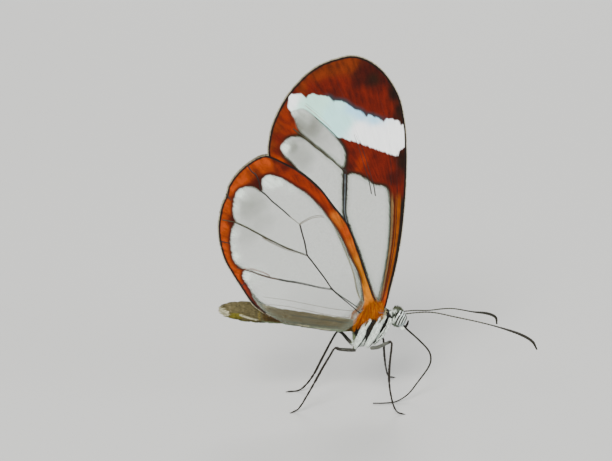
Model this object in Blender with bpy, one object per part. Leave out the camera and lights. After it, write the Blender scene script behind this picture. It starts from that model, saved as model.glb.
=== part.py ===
# Glasswing butterfly standing with its wings closed over its back, at life size.
# Metres, +Z up. The head points along +X, the insect's left side lies along +Y, the feet
# stand on Z = 0 and the origin is on the floor under the middle of the insect.

import math

import bmesh
import bpy
from mathutils import Vector
from mathutils.geometry import delaunay_2d_cdt

mm = 0.001

# Driving dimensions. Lists of places below are in millimetres and solid() turns them into metres.
gap = 0.3              # left between pieces that touch
wing_thickness = 0.5
vein_rise = 0.12       # height of a vein's ridge above the membrane
vein_width = 0.7
wing_grid = 2.0        # spacing of the points that let the membrane bend
forewing_offset = 0.45    # from the midplane to the middle of the membrane
hindwing_offset = 1.3     # where it laps over the forewing
hindwings_closed = 0.5    # the same, behind the forewing, where the two hindwings come together
hindwing_spread = 1.6     # the same, where it laps over the side of the abdomen
eye_radius = 0.72
floor_height = 0.0

# Where each wing grows from the thorax: along the body and up.
forewing_root = (0.45, 11.55)
hindwing_root = (-0.2, 11.0)

# Wing outlines, from the wing's root: forward and up. Each starts at the front of the root,
# climbs the leading edge and comes home along the inner margin.
forewing_outline = (
    (0.45, 0.15), (1.2, 1.9), (1.75, 4.25), (2.15, 6.65), (2.45, 9.0), (2.7, 12.5), (2.8, 16.0),
    (2.7, 19.4), (2.45, 21.7), (1.95, 23.95), (1.15, 25.65), (-0.1, 27.35), (-1.7, 28.55), (-3.3, 29.05),
    (-5.0, 28.8), (-6.85, 28.15), (-8.45, 27.05), (-10.0, 25.4), (-11.0, 23.85), (-11.9, 21.9),
    (-12.3, 20.3), (-12.45, 18.6), (-12.05, 17.1), (-10.2, 15.75), (-7.95, 13.9), (-5.95, 11.3),
    (-4.5, 8.2), (-3.1, 4.55), (-2.15, 0.85), (-0.5, 0.2),
)
hindwing_outline = (
    (0.1, 0.1), (0.15, 0.9), (-0.2, 2.25), (-0.9, 4.55), (-1.85, 7.4), (-2.75, 9.85), (-3.3, 11.1),
    (-4.6, 12.85), (-6.2, 15.05), (-8.3, 17.0), (-9.8, 17.95), (-11.6, 18.85), (-12.55, 18.95),
    (-13.45, 18.5), (-14.35, 17.9), (-15.35, 16.95), (-16.1, 15.8), (-16.45, 14.7), (-16.95, 13.55),
    (-17.25, 12.2), (-17.4, 10.85), (-17.2, 9.1), (-16.75, 7.15), (-15.85, 5.35), (-14.8, 3.5),
    (-13.55, 1.6), (-11.95, 0.4), (-10.55, -0.5), (-9.35, -0.95), (-7.05, -1.55), (-4.8, -2.05),
    (-3.3, -1.95), (-2.3, -1.3), (-1.4, -0.4),
)

# Main veins, from the same roots.
forewing_veins = {
    "radius": ((0.2, 0.7), (1.1, 5.2), (1.65, 10.2), (1.7, 14.2), (1.5, 19.5), (0.6, 24.0), (-1.3, 26.6)),
    "media": ((-0.3, 0.8), (-1.5, 1.9), (-3.1, 6.4), (-4.2, 11.0), (-4.05, 16.2), (-4.0, 18.3),
              (-6.4, 21.7), (-9.3, 24.4)),
    "cubitus": ((-4.05, 16.2), (-6.4, 18.5), (-8.75, 20.6), (-11.1, 22.1)),
    "cell_end": ((-4.05, 16.2), (-2.3, 15.6), (-0.7, 14.3), (0.9, 13.9)),
    "first_branch": ((-0.7, 14.3), (-1.4, 18.3), (-3.0, 22.6), (-5.5, 27.2)),
    "second_branch": ((0.9, 13.9), (0.6, 18.5), (-0.7, 23.0), (-2.9, 27.9)),
    "anal": ((-0.9, 0.7), (-2.45, 4.9), (-4.1, 9.2), (-6.6, 13.3), (-10.4, 16.6)),
}
hindwing_veins = {
    "subcosta": ((-0.6, 0.6), (-1.5, 4.7), (-3.4, 9.2), (-5.6, 12.6), (-8.0, 15.3), (-10.4, 17.4), (-12.6, 18.3)),
    "radial": ((-8.5, 11.0), (-10.2, 12.7), (-12.7, 15.4), (-13.05, 16.6), (-13.9, 17.3)),
    "cell_end": ((-8.5, 11.0), (-7.7, 11.6), (-6.7, 11.9), (-5.3, 12.1)),
    "cubitus": ((-1.6, 0.6), (-3.3, 1.7), (-5.0, 3.3), (-6.4, 5.4), (-7.6, 7.3), (-8.4, 9.6), (-8.5, 11.0)),
    "first_branch": ((-7.6, 7.3), (-10.4, 8.5), (-13.1, 10.1), (-15.5, 11.4), (-16.7, 11.7)),
    "second_branch": ((-5.0, 3.3), (-8.5, 4.1), (-11.5, 5.0), (-15.2, 6.5), (-16.1, 6.9)),
    "anal": ((-2.2, -0.1), (-4.8, 0.1), (-9.0, 0.8), (-12.6, 1.9)),
}

# Body profiles: place along the body, underside, top and half width.
thorax_profile = (
    (-2.35, 7.1, 9.6, 0.5), (-2.2, 6.65, 9.9, 0.85), (-1.8, 6.35, 10.3, 1.1), (-1.2, 6.35, 10.75, 1.3),
    (-0.5, 6.9, 11.05, 1.4), (0.0, 7.65, 11.2, 1.35), (0.5, 8.4, 11.25, 1.2), (0.85, 9.1, 11.25, 1.05),
    (1.2, 9.95, 11.2, 0.85), (1.5, 10.2, 11.1, 0.65), (1.62, 10.4, 10.9, 0.35),
)
abdomen_profile = (
    (-2.65, 8.35, 10.0, 0.62), (-4.15, 8.45, 10.3, 0.78), (-6.4, 8.85, 10.8, 0.82), (-8.7, 9.35, 11.3, 0.85),
    (-11.0, 9.85, 11.8, 0.88), (-13.4, 10.1, 12.65, 0.95), (-14.9, 10.35, 12.85, 0.93),
    (-16.2, 10.8, 12.75, 0.78), (-17.2, 11.35, 12.6, 0.55), (-17.85, 11.75, 12.35, 0.25),
)
abdomen_segments = (-2.65, -4.3, -6.4, -8.4, -10.3, -12.1, -13.8, -15.3, -16.6, -17.85)
abdomen_lengths = {"abdomen_front": (0, 3), "abdomen_middle": (3, 5), "abdomen_rear": (5, 7), "abdomen_tip": (7, 9)}
segment_step = 0.07    # a segment's front edge is this much slimmer than its rear edge

# Where the thorax parts into its three plates, and which way is forward across each suture.
rear_suture = (Vector((-1.35, 0.0, 8.8)), Vector((0.97, 0.0, -0.25)).normalized())
front_suture = (Vector((0.95, 0.0, 10.2)), Vector((1.0, 0.0, 0.0)))

# Head: centre and half sizes. Each eye is a dome on a flat socket.
head_centre = Vector((2.72, 0.0, 9.65))
head_size = Vector((0.78, 0.95, 1.15))
eye_centre = Vector((2.84, 0.55, 9.72))
eye_inner = 0.72       # the flat back of an eye, from the midplane
socket_depth = 0.45    # the flat floor of its socket

# Routes of the long parts: place and radius at each point, for the right side unless named.
palp_route = ((2.9, 0.7, 8.2, 0.23), (3.45, 0.8, 8.3, 0.24), (3.9, 0.82, 8.85, 0.24), (4.0, 0.76, 9.6, 0.12))
proboscis_route = (
    (3.2, 0.0, 8.3, 0.25), (4.35, -0.05, 7.75, 0.25), (5.25, -0.1, 6.85, 0.25), (6.2, -0.3, 5.6, 0.25),
    (6.5, -0.45, 4.6, 0.25), (6.2, -0.6, 3.7, 0.25), (4.95, -0.95, 2.0, 0.25), (3.75, -1.25, 0.75, 0.25),
    (2.4, -1.5, 0.2, 0.25), (0.95, -1.7, 0.17, 0.22), (-0.35, -1.4, 0.12, 0.15),
)
proboscis_lengths = ("proboscis_root", "proboscis_knee", "proboscis_lower", "proboscis_tip")
antenna_routes = {
    "right": (
        (3.55, -0.45, 10.6, 0.25), (4.9, -1.0, 10.8, 0.25), (6.5, -1.7, 10.95, 0.25), (8.8, -2.75, 10.65, 0.25),
        (11.2, -3.8, 10.35, 0.25), (13.4, -4.75, 9.95, 0.28), (15.4, -5.7, 9.45, 0.36),
        (16.7, -6.25, 8.75, 0.34), (17.25, -6.5, 7.8, 0.14),
    ),
    "left": (
        (3.65, 0.45, 10.6, 0.25), (4.9, 1.1, 10.25, 0.25), (6.55, 1.95, 9.65, 0.25), (9.6, 3.45, 9.1, 0.25),
        (12.7, 5.0, 7.85, 0.27), (14.2, 5.8, 7.3, 0.34), (15.3, 6.35, 6.75, 0.36),
        (15.9, 6.65, 6.2, 0.3), (16.05, 6.7, 5.4, 0.14),
    ),
}
leg_routes = {
    "midleg_right": (
        (-0.45, -0.85, 6.6, 0.28), (0.15, -1.8, 7.1, 0.3), (0.85, -2.85, 7.95, 0.27), (1.32, -3.4, 8.35, 0.27),
        (1.32, -3.6, 7.6, 0.25), (1.1, -3.9, 5.9, 0.25), (1.0, -4.3, 3.8, 0.25), (1.3, -4.65, 1.7, 0.25),
        (1.8, -4.85, 0.4, 0.22), (2.6, -4.9, 0.06, 0.2),
    ),
    "midleg_left": (
        (-0.45, 0.85, 6.6, 0.28), (0.15, 1.2, 6.7, 0.3), (0.9, 1.6, 6.7, 0.27), (1.38, 1.85, 6.5, 0.27),
        (1.5, 2.05, 5.9, 0.25), (1.65, 2.5, 4.8, 0.25), (1.85, 3.15, 3.5, 0.25), (2.15, 3.9, 2.0, 0.25),
        (2.6, 4.5, 0.5, 0.22), (3.35, 4.9, 0.06, 0.2),
    ),
    "hindleg_right": (
        (-2.35, -0.8, 6.45, 0.28), (-3.1, -1.25, 6.7, 0.3), (-4.2, -1.7, 7.05, 0.27), (-4.85, -1.95, 7.3, 0.27),
        (-5.5, -2.05, 6.3, 0.25), (-6.25, -2.2, 5.1, 0.25), (-7.2, -2.35, 3.4, 0.25), (-8.0, -2.5, 1.95, 0.25),
        (-8.85, -2.65, 0.4, 0.22), (-9.85, -2.75, 0.06, 0.2),
    ),
    "hindleg_left": (
        (-2.3, 0.85, 6.4, 0.28), (-2.8, 1.35, 6.85, 0.3), (-3.35, 1.95, 7.4, 0.27), (-3.8, 2.3, 7.5, 0.27),
        (-4.3, 2.45, 6.75, 0.25), (-5.6, 2.55, 4.1, 0.25), (-6.5, 2.65, 2.2, 0.25), (-7.4, 2.75, 0.9, 0.22),
        (-8.3, 2.85, 0.2, 0.2), (-9.6, 2.95, 0.1, 0.2),
    ),
}
knee_point, ankle_point = 3, 6     # which point of a leg's route is its knee and which its ankle
foreleg_route = (
    (1.42, 0.42, 9.5, 0.22), (1.38, 0.46, 9.0, 0.25), (1.18, 0.46, 8.4, 0.25), (0.85, 0.44, 7.8, 0.25),
    (0.5, 0.42, 7.3, 0.22), (0.25, 0.42, 7.0, 0.14),
)
palp_length, foreleg_length = 1.9, 2.8

# Colour, roughness of each finish.
finishes = {
    "wing": ((0.42, 0.12, 0.03), 0.6),
    "body": ((0.16, 0.13, 0.11), 0.8),
    "belly": ((0.34, 0.30, 0.25), 0.8),
    "eye": ((0.03, 0.02, 0.02), 0.15),
    "limb": ((0.05, 0.04, 0.03), 0.55),
    "brush": ((0.65, 0.63, 0.58), 0.85),
}


def clear_scene():
    for obj in list(bpy.data.objects):
        bpy.data.objects.remove(obj)


def material(name, finish):
    colour, roughness = finishes[finish]
    made = bpy.data.materials.new(name)
    made.use_nodes = True
    shader = made.node_tree.nodes["Principled BSDF"]
    shader.inputs["Base Color"].default_value = (*colour, 1.0)
    shader.inputs["Roughness"].default_value = roughness
    return made


def solid(name, bm, origin, finish):
    # Turns a bmesh in millimetres into a named object whose origin is where the piece grows from.
    bmesh.ops.triangulate(bm, faces=bm.faces)
    bmesh.ops.recalc_face_normals(bm, faces=bm.faces)
    bmesh.ops.translate(bm, verts=bm.verts, vec=-Vector(origin))
    bmesh.ops.scale(bm, verts=bm.verts, vec=(mm, mm, mm))
    mesh = bpy.data.meshes.new(name)
    bm.to_mesh(mesh)
    bm.free()
    mesh.shade_smooth()
    mesh.set_sharp_from_angle(angle=math.radians(40))
    obj = bpy.data.objects.new(name, mesh)
    obj.location = Vector(origin) * mm
    obj.parent = bpy.data.objects["butterfly"]
    mesh.materials.append(material(name, finish))
    bpy.context.collection.objects.link(obj)
    return obj


def smooth(knots, steps, closed=False):
    # A Catmull-Rom curve through the knots, with so many steps between each two.
    points = [Vector(knot) for knot in knots]
    count = len(points)
    line = []
    for i in range(count if closed else count - 1):
        b, c = points[i], points[(i + 1) % count]
        a = points[i - 1] if closed or i else 2 * b - c
        d = points[(i + 2) % count] if closed or i + 2 < count else 2 * c - b
        for step in range(steps):
            t = step / steps
            line.append((2 * b + (c - a) * t + (2 * a - 5 * b + 4 * c - d) * t**2 + (3 * b - a - 3 * c + d) * t**3) / 2)
    if not closed:
        line.append(points[-1])
    return line


def distances_along(line):
    along = [0.0]
    for a, b in zip(line, line[1:]):
        along.append(along[-1] + (b - a).xyz.length)
    return along


def stretch(line, start, end, rings):
    # Evenly spaced points of a line between two distances along it.
    along = distances_along(line)
    points = []
    for i in range(rings):
        wanted = start + (end - start) * i / (rings - 1)
        after = next((k for k, s in enumerate(along) if s >= wanted and k), len(line) - 1)
        before = after - 1
        share = (wanted - along[before]) / (along[after] - along[before])
        points.append(line[before].lerp(line[after], min(1.0, share)))
    return points


def skin(rings):
    # A closed bmesh over rings of points, with a flat cap at each end.
    bm = bmesh.new()
    loops = [[bm.verts.new(point) for point in ring] for ring in rings]
    for lower, upper in zip(loops, loops[1:]):
        for i in range(len(lower)):
            j = (i + 1) % len(lower)
            bm.faces.new((lower[i], lower[j], upper[j], upper[i]))
    bm.faces.new(reversed(loops[0]))
    bm.faces.new(loops[-1])
    return bm


def tube(points, sides=8, end_directions=(None, None)):
    # A round tube through points that hold a place and a radius.
    rings = []
    across = None
    for i, point in enumerate(points):
        ahead = (points[min(i + 1, len(points) - 1)].xyz - points[max(i - 1, 0)].xyz).normalized()
        if i == 0 and end_directions[0]:
            ahead = end_directions[0]
        if i == len(points) - 1 and end_directions[1]:
            ahead = end_directions[1]
        across = ahead.orthogonal() if across is None else across - across.project(ahead)
        across.normalize()
        other = ahead.cross(across)
        ring = []
        for side in range(sides):
            angle = 2 * math.pi * side / sides
            ring.append(point.xyz + (across * math.cos(angle) + other * math.sin(angle)) * point.w)
        rings.append(ring)
    return skin(rings)


def mirrored(route, side):
    return [(x, y * side, z, radius) for x, y, z, radius in route]


def cut(bm, point, normal):
    # Takes away what lies past the plane and closes the cut.
    geometry = bm.verts[:] + bm.edges[:] + bm.faces[:]
    bmesh.ops.bisect_plane(bm, geom=geometry, plane_co=point, plane_no=normal, clear_outer=True)
    bmesh.ops.holes_fill(bm, edges=bm.edges[:], sides=0)


def direction_at(line, place):
    near, far = stretch(line, place - gap, place + gap, 2)
    return (far - near).xyz.normalized()


def limb(names, route, cuts, finish, rings=6, sides=8, flat_foot=False):
    # One long part, parted into lengths by thin cuts at distances along its route.
    line = smooth(route, 8)
    whole = distances_along(line)[-1]
    edges = [-gap / 2, *cuts, whole + gap / 2]
    directions = [None, *(direction_at(line, place) for place in cuts), None]
    for i, name in enumerate(names):
        points = stretch(line, edges[i] + gap / 2, edges[i + 1] - gap / 2, rings)
        bm = tube(points, sides, (directions[i], directions[i + 1]))
        if flat_foot and name == names[-1]:
            cut(bm, (0, 0, floor_height), (0, 0, -1))
        solid(name, bm, points[0].xyz, finish)


def body_ring(x, low, high, half_width, sides, swell=1.0):
    middle, half_height = (low + high) / 2, (high - low) / 2
    ring = []
    for side in range(sides):
        angle = 2 * math.pi * side / sides
        ring.append((x, math.cos(angle) * half_width * swell, middle + math.sin(angle) * half_height * swell))
    return ring


def profile_at(profile, x):
    # The smooth body profile at one place along the body.
    line = smooth(profile, 8)
    for a, b in zip(line, line[1:]):
        if x >= b.x:
            return a.lerp(b, (x - a.x) / (b.x - a.x))
    return line[-1]


def make_abdomen():
    sides = 20
    for name, (first, last) in abdomen_lengths.items():
        rings = []
        for segment in range(first, last):
            front, rear = abdomen_segments[segment], abdomen_segments[segment + 1]
            front -= gap if segment == first and segment else 0.0
            for share, swell in ((0.0, 1 - segment_step), (0.25, 1.0), (0.65, 1.0), (0.97, 1.0)):
                x = front + (rear - front) * share
                rings.append(body_ring(x, *profile_at(abdomen_profile, x).yzw, sides, swell))
        bm = skin(rings)
        solid(name, bm, (abdomen_segments[first], 0, profile_at(abdomen_profile, abdomen_segments[first]).y), "belly")


def make_thorax():
    rings = [body_ring(p.x, p.y, p.z, p.w, 24) for p in smooth(thorax_profile, 2)]
    (rear, rear_normal), (front, front_normal) = rear_suture, front_suture
    plates = {
        "metathorax": ((rear - rear_normal * gap / 2, rear_normal),),
        "mesothorax": ((rear + rear_normal * gap / 2, -rear_normal), (front - front_normal * gap / 2, front_normal)),
        "prothorax": ((front + front_normal * gap / 2, -front_normal),),
    }
    for name, planes in plates.items():
        bm = skin(rings)
        for point, normal in planes:
            cut(bm, point, normal)
        solid(name, bm, planes[0][0], "body")


def make_head():
    bm = bmesh.new()
    bmesh.ops.create_uvsphere(bm, u_segments=24, v_segments=14, radius=1.0)
    bmesh.ops.scale(bm, verts=bm.verts, vec=head_size)
    bmesh.ops.translate(bm, verts=bm.verts, vec=head_centre)
    head = solid("head", bm, head_centre, "body")
    for side in (-1, 1):
        place = Vector((eye_centre.x, side * (socket_depth + 1.0), eye_centre.z)) * mm
        bpy.ops.mesh.primitive_cylinder_add(
            vertices=24, radius=(eye_radius + gap) * mm, depth=2.0 * mm, location=place, rotation=(math.pi / 2, 0, 0)
        )
        cutter = bpy.context.object
        socket = head.modifiers.new("socket", "BOOLEAN")
        socket.operation = "DIFFERENCE"
        socket.object = cutter
        bpy.context.view_layer.objects.active = head
        bpy.ops.object.modifier_apply(modifier=socket.name)
        bpy.data.objects.remove(cutter)


def make_eyes():
    for name, side in (("eye_right", -1), ("eye_left", 1)):
        bm = bmesh.new()
        bmesh.ops.create_uvsphere(bm, u_segments=20, v_segments=12, radius=eye_radius)
        centre = Vector((eye_centre.x, side * eye_centre.y, eye_centre.z))
        bmesh.ops.translate(bm, verts=bm.verts, vec=centre)
        back = Vector((centre.x, side * eye_inner, centre.z))
        cut(bm, back, (0, -side, 0))
        solid(name, bm, back, "eye")


def make_mouth_and_feelers():
    for name, side in (("palp_right", -1), ("palp_left", 1)):
        points = stretch(smooth(mirrored(palp_route, side), 8), 0.0, palp_length, 7)
        solid(name, tube(points), points[0].xyz, "brush")
    length = distances_along(smooth(proboscis_route, 8))[-1]
    limb(proboscis_lengths, proboscis_route, [length * k / 4 for k in (1, 2, 3)], "limb", rings=9, flat_foot=True)
    for side, route in antenna_routes.items():
        length = distances_along(smooth(route, 8))[-1]
        limb((f"antenna_{side}", f"antenna_club_{side}"), route, (length * 0.72,), "limb", rings=12)


def make_legs():
    for leg, route in leg_routes.items():
        knee, ankle = (distances_along(smooth(route[: point + 1], 8))[-1] for point in (knee_point, ankle_point))
        names = [f"{leg}_{length}" for length in ("femur", "tibia", "tarsus")]
        limb(names, route, (knee, ankle), "limb", rings=8, flat_foot=True)
    for name, side in (("foreleg_right", -1), ("foreleg_left", 1)):
        points = stretch(smooth(mirrored(foreleg_route, side), 8), 0.0, foreleg_length, 7)
        solid(name, tube(points), points[0].xyz, "brush")


def beside(line, offset):
    # A copy of a flat line, moved sideways.
    moved = []
    for i, point in enumerate(line):
        ahead = line[min(i + 1, len(line) - 1)] - line[max(i - 1, 0)]
        moved.append(point + Vector((-ahead.y, ahead.x)).normalized() * offset)
    return moved


def distance_to(point, line):
    nearest = math.inf
    for a, b in zip(line, line[1:]):
        span = b - a
        share = max(0.0, min(1.0, (point - a).dot(span) / span.length_squared))
        nearest = min(nearest, (point - a - span * share).length)
    return nearest


def within(point, rim):
    # Whether a flat point lies inside an outline.
    crossings = 0
    for a, b in zip(rim, rim[1:] + rim[:1]):
        if (a.y > point.y) != (b.y > point.y):
            crossings += point.x < a.x + (point.y - a.y) * (b.x - a.x) / (b.y - a.y)
    return crossings % 2 == 1


def ease(value):
    value = max(0.0, min(1.0, value))
    return value * value * (3 - 2 * value)


def forewing_place(x, z):
    return forewing_offset


def hindwing_place(x, z):
    # The hindwing lies outside the forewing, closes on the other hindwing behind it, and
    # spreads again over the side of the abdomen.
    rim = [Vector(forewing_root) + Vector(point) for point in forewing_outline]
    spot = Vector((x, z))
    behind = 0.0 if within(spot, rim) else distance_to(spot, rim + rim[:1])
    over_forewing = 1.0 - ease((behind - 1.0) / 4.0)
    over_abdomen = ease((profile_at(abdomen_profile, x).z + 3.5 - z) / 3.0)
    spread = hindwing_offset + (hindwing_spread - hindwing_offset) * ease((-2.0 - x) / 4.0)
    lapped = hindwings_closed + (hindwing_offset - hindwings_closed) * over_forewing
    return max(lapped, hindwings_closed + (spread - hindwings_closed) * over_abdomen)


def make_wing(name, side, root, outline, veins, offset_at):
    rim = smooth(outline, 2, closed=True)
    ridges = [smooth(vein, 2) for vein in veins.values()]
    points = list(rim)
    edges = [(i, (i + 1) % len(rim)) for i in range(len(rim))]
    for ridge in ridges:
        for line in (ridge, beside(ridge, vein_width / 2), beside(ridge, -vein_width / 2)):
            edges += [(len(points) + i, len(points) + i + 1) for i in range(len(line) - 1)]
            points += line
    low, high = min(p.y for p in rim), max(p.y for p in rim)
    back, front = min(p.x for p in rim), max(p.x for p in rim)
    for column in range(int((front - back) / wing_grid) + 1):
        for row in range(int((high - low) / wing_grid) + 1):
            spot = Vector((back + column * wing_grid, low + row * wing_grid))
            clear = within(spot, rim) and distance_to(spot, rim + rim[:1]) > 1.0
            if clear and min(distance_to(spot, ridge) for ridge in ridges) > 1.0:
                points.append(spot)
    flat, _, faces, *_ = delaunay_2d_cdt(points, edges, [], 1, 1e-4)
    bm = bmesh.new()
    outer, inner = [], []
    for spot in flat:
        x, z = root[0] + spot.x, root[1] + spot.y
        rise = vein_rise * max(0.0, 1 - 2 * min(distance_to(spot, ridge) for ridge in ridges) / vein_width)
        middle = offset_at(x, z)
        outer.append(bm.verts.new((x, side * (middle + wing_thickness / 2 + rise), z)))
        inner.append(bm.verts.new((x, side * (middle - wing_thickness / 2), z)))
    used = {}
    for face in faces:
        bm.faces.new([outer[i] for i in face])
        bm.faces.new([inner[i] for i in reversed(face)])
        for i, j in zip(face, face[1:] + face[:1]):
            used.setdefault(frozenset((i, j)), []).append((i, j))
    for sharing in used.values():
        if len(sharing) == 1:
            i, j = sharing[0]
            bm.faces.new((outer[j], outer[i], inner[i]))
            bm.faces.new((outer[j], inner[i], inner[j]))
    solid(name, bm, (root[0], side * offset_at(*root), root[1]), "wing")


def make_wings():
    for side_name, side in (("right", -1), ("left", 1)):
        make_wing(f"forewing_{side_name}", side, forewing_root, forewing_outline, forewing_veins, forewing_place)
        make_wing(f"hindwing_{side_name}", side, hindwing_root, hindwing_outline, hindwing_veins, hindwing_place)


def main():
    clear_scene()
    bpy.context.collection.objects.link(bpy.data.objects.new("butterfly", None))
    make_thorax()
    make_abdomen()
    make_head()
    make_eyes()
    make_mouth_and_feelers()
    make_legs()
    make_wings()


main()
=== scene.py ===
import math
import random
from functools import partial

import bpy
import numpy as np
from mathutils import Matrix, Vector, noise
from mathutils.bvhtree import BVHTree


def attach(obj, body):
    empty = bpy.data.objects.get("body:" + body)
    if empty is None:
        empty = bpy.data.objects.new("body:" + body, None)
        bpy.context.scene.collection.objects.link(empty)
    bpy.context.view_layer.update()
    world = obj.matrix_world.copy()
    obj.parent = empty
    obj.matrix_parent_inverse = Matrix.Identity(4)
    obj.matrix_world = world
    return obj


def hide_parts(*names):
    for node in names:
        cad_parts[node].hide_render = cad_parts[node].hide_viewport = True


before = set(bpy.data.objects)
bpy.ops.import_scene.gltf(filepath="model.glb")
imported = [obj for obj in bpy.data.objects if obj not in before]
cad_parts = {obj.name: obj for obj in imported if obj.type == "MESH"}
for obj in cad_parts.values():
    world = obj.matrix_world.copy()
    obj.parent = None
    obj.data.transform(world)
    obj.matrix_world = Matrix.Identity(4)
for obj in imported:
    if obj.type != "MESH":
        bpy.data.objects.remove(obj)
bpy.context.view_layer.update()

mm = 0.001      # pieces are modelled in millimetres, and finishPiece brings them to metres
sides = (("right", -1), ("left", 1))
wholeTurn = 2 * math.pi

# The photo's view. A point of the insect is put on its pixel by moving the camera sideways.
photoView = {
    "azimuth": -8.0,
    "elevation": 20.0,
    "distance": 190.0,
    "pixelsPerMm": 9.0,
    "target": (0.2, 0.0, 20.5),
    "targetPixel": (377.5, 230.0),
    "frame": (612, 461),
    "sensor": 36.0,
}


def setCamera():
    turn, tilt = math.radians(photoView["azimuth"]), math.radians(photoView["elevation"])
    back = Vector((math.sin(turn) * math.cos(tilt), -math.cos(turn) * math.cos(tilt), math.sin(tilt)))
    right = Vector((math.cos(turn), math.sin(turn), 0))
    up = back.cross(right)
    wide, high = photoView["frame"]
    perMm = photoView["pixelsPerMm"]
    aside = (photoView["targetPixel"][0] - wide / 2) / perMm
    above = (high / 2 - photoView["targetPixel"][1]) / perMm
    place = Vector(photoView["target"]) + back * photoView["distance"] - right * aside - up * above
    camera = bpy.data.objects.new("photoCamera", bpy.data.cameras.new("photoCamera"))
    camera.data.sensor_width = photoView["sensor"]
    camera.data.lens = perMm * photoView["distance"] / wide * photoView["sensor"]
    camera.data.clip_start = 0.005
    camera.data.clip_end = 20
    turned = Matrix((right, up, back)).transposed().to_4x4()
    camera.matrix_world = Matrix.Translation(place * mm) @ turned
    bpy.context.collection.objects.link(camera)
    bpy.context.scene.camera = camera


studio = {
    "floorSize": 4.0,
    "floorColour": (0.44, 0.44, 0.425),
    "skyColour": (0.92, 0.95, 1.0),
    "skyStrength": 0.55,
    # name, place in metres, size in metres, power in watts, colour
    "lamps": (
        ("keyLamp", (-0.25, -0.45, 0.55), 0.35, 9.0, (1.0, 0.98, 0.95)),
        ("fillLamp", (0.55, -0.35, 0.30), 0.50, 3.5, (0.93, 0.97, 1.0)),
        ("rimLamp", (0.10, 0.55, 0.45), 0.40, 5.0, (1.0, 0.99, 0.96)),
    ),
}


def setStudio():
    bpy.ops.mesh.primitive_plane_add(size=studio["floorSize"])
    floor = bpy.context.object
    floor.name = "studioFloor"
    paper = newMaterial("floorPaper", 0.9)
    put(paper, "Base Color", studio["floorColour"])
    grain = addNode(paper, "ShaderNodeTexNoise", {"Scale": 60.0, "Detail": 3.0})
    addBump(paper, grain.outputs["Fac"], 0.1, 0.0002)
    floor.data.materials.append(paper)
    for name, place, size, power, colour in studio["lamps"]:
        lamp = bpy.data.lights.new(name, "AREA")
        lamp.shape = "DISK"
        lamp.size = size
        lamp.energy = power
        lamp.color = colour
        stand = bpy.data.objects.new(name, lamp)
        stand.location = place
        aim = Vector((0, 0, 0.015)) - Vector(place)
        stand.rotation_euler = aim.to_track_quat("-Z", "Y").to_euler()
        bpy.context.collection.objects.link(stand)
    world = bpy.data.worlds.new("studioSky")
    bpy.context.scene.world = world
    world.use_nodes = True
    sky = world.node_tree.nodes["Background"]
    sky.inputs["Color"].default_value = (*studio["skyColour"], 1)
    sky.inputs["Strength"].default_value = studio["skyStrength"]


# Material helpers. A value goes straight on the shader's socket, a pattern is linked to it.
def newMaterial(name, roughness=0.5, specular=0.5):
    made = bpy.data.materials.new(name)
    made.use_nodes = True
    put(made, "Roughness", roughness)
    put(made, "Specular IOR Level", specular)
    return made


def put(material, socket, value):
    shader = material.node_tree.nodes["Principled BSDF"]
    shader.inputs[socket].default_value = (*value, 1) if isinstance(value, tuple) else value


def addNode(material, kind, values=None, **settings):
    node = material.node_tree.nodes.new(kind)
    for name, value in settings.items():
        setattr(node, name, value)
    for socket, value in (values or {}).items():
        if hasattr(value, "links"):
            material.node_tree.links.new(value, node.inputs[socket])
        else:
            node.inputs[socket].default_value = value
    return node


def feed(material, socket, output):
    shader = material.node_tree.nodes["Principled BSDF"]
    material.node_tree.links.new(output, shader.inputs[socket])


def objectPlace(material, scale, turn=(0, 0, 0)):
    values = {"Vector": addNode(material, "ShaderNodeTexCoord").outputs["Object"], "Rotation": turn}
    values["Scale"] = scale if isinstance(scale, tuple) else (scale,) * 3
    return addNode(material, "ShaderNodeMapping", values).outputs["Vector"]


def reading(material, name, socket="Fac"):
    return addNode(material, "ShaderNodeAttribute", attribute_name=name).outputs[socket]


def brighten(material, colour, light):
    values = {0: colour, "Scale": light}
    return addNode(material, "ShaderNodeVectorMath", values, operation="SCALE").outputs[0]


def sums(material, operation, first, second=0.0, third=0.0):
    values = {0: first, 1: second, 2: third}
    return addNode(material, "ShaderNodeMath", values, operation=operation).outputs[0]


def vary(material, value, pattern, strength):
    # more or less of a value along a pattern that runs from 0 to 1
    return sums(material, "MULTIPLY_ADD", sums(material, "SUBTRACT", pattern, 0.5), strength, value)


def ease(material, value, low, high, toLow=0.0, toHigh=1.0):
    values = {0: value, 1: low, 2: high, 3: toLow, 4: toHigh}
    return addNode(material, "ShaderNodeMapRange", values, interpolation_type="SMOOTHSTEP").outputs[0]


def blend(material, share, first, second):
    first, second = ((*value, 1) if isinstance(value, tuple) else value for value in (first, second))
    return addNode(material, "ShaderNodeMix", {0: share, 6: first, 7: second}, data_type="RGBA").outputs[2]


def noiseAt(material, vector, scale=1.0, detail=3.0):
    values = {"Vector": vector, "Scale": scale, "Detail": detail}
    return addNode(material, "ShaderNodeTexNoise", values).outputs["Fac"]


def grainOf(material, scale, detail=3.0):
    return noiseAt(material, objectPlace(material, scale), 1.0, detail)


def cellsAt(material, vector, scale=1.0):
    return addNode(material, "ShaderNodeTexVoronoi", {"Vector": vector, "Scale": scale}).outputs


def addBump(material, height, strength, distance):
    values = {"Height": height, "Strength": strength, "Distance": distance}
    feed(material, "Normal", addNode(material, "ShaderNodeBump", values).outputs["Normal"])


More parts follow.
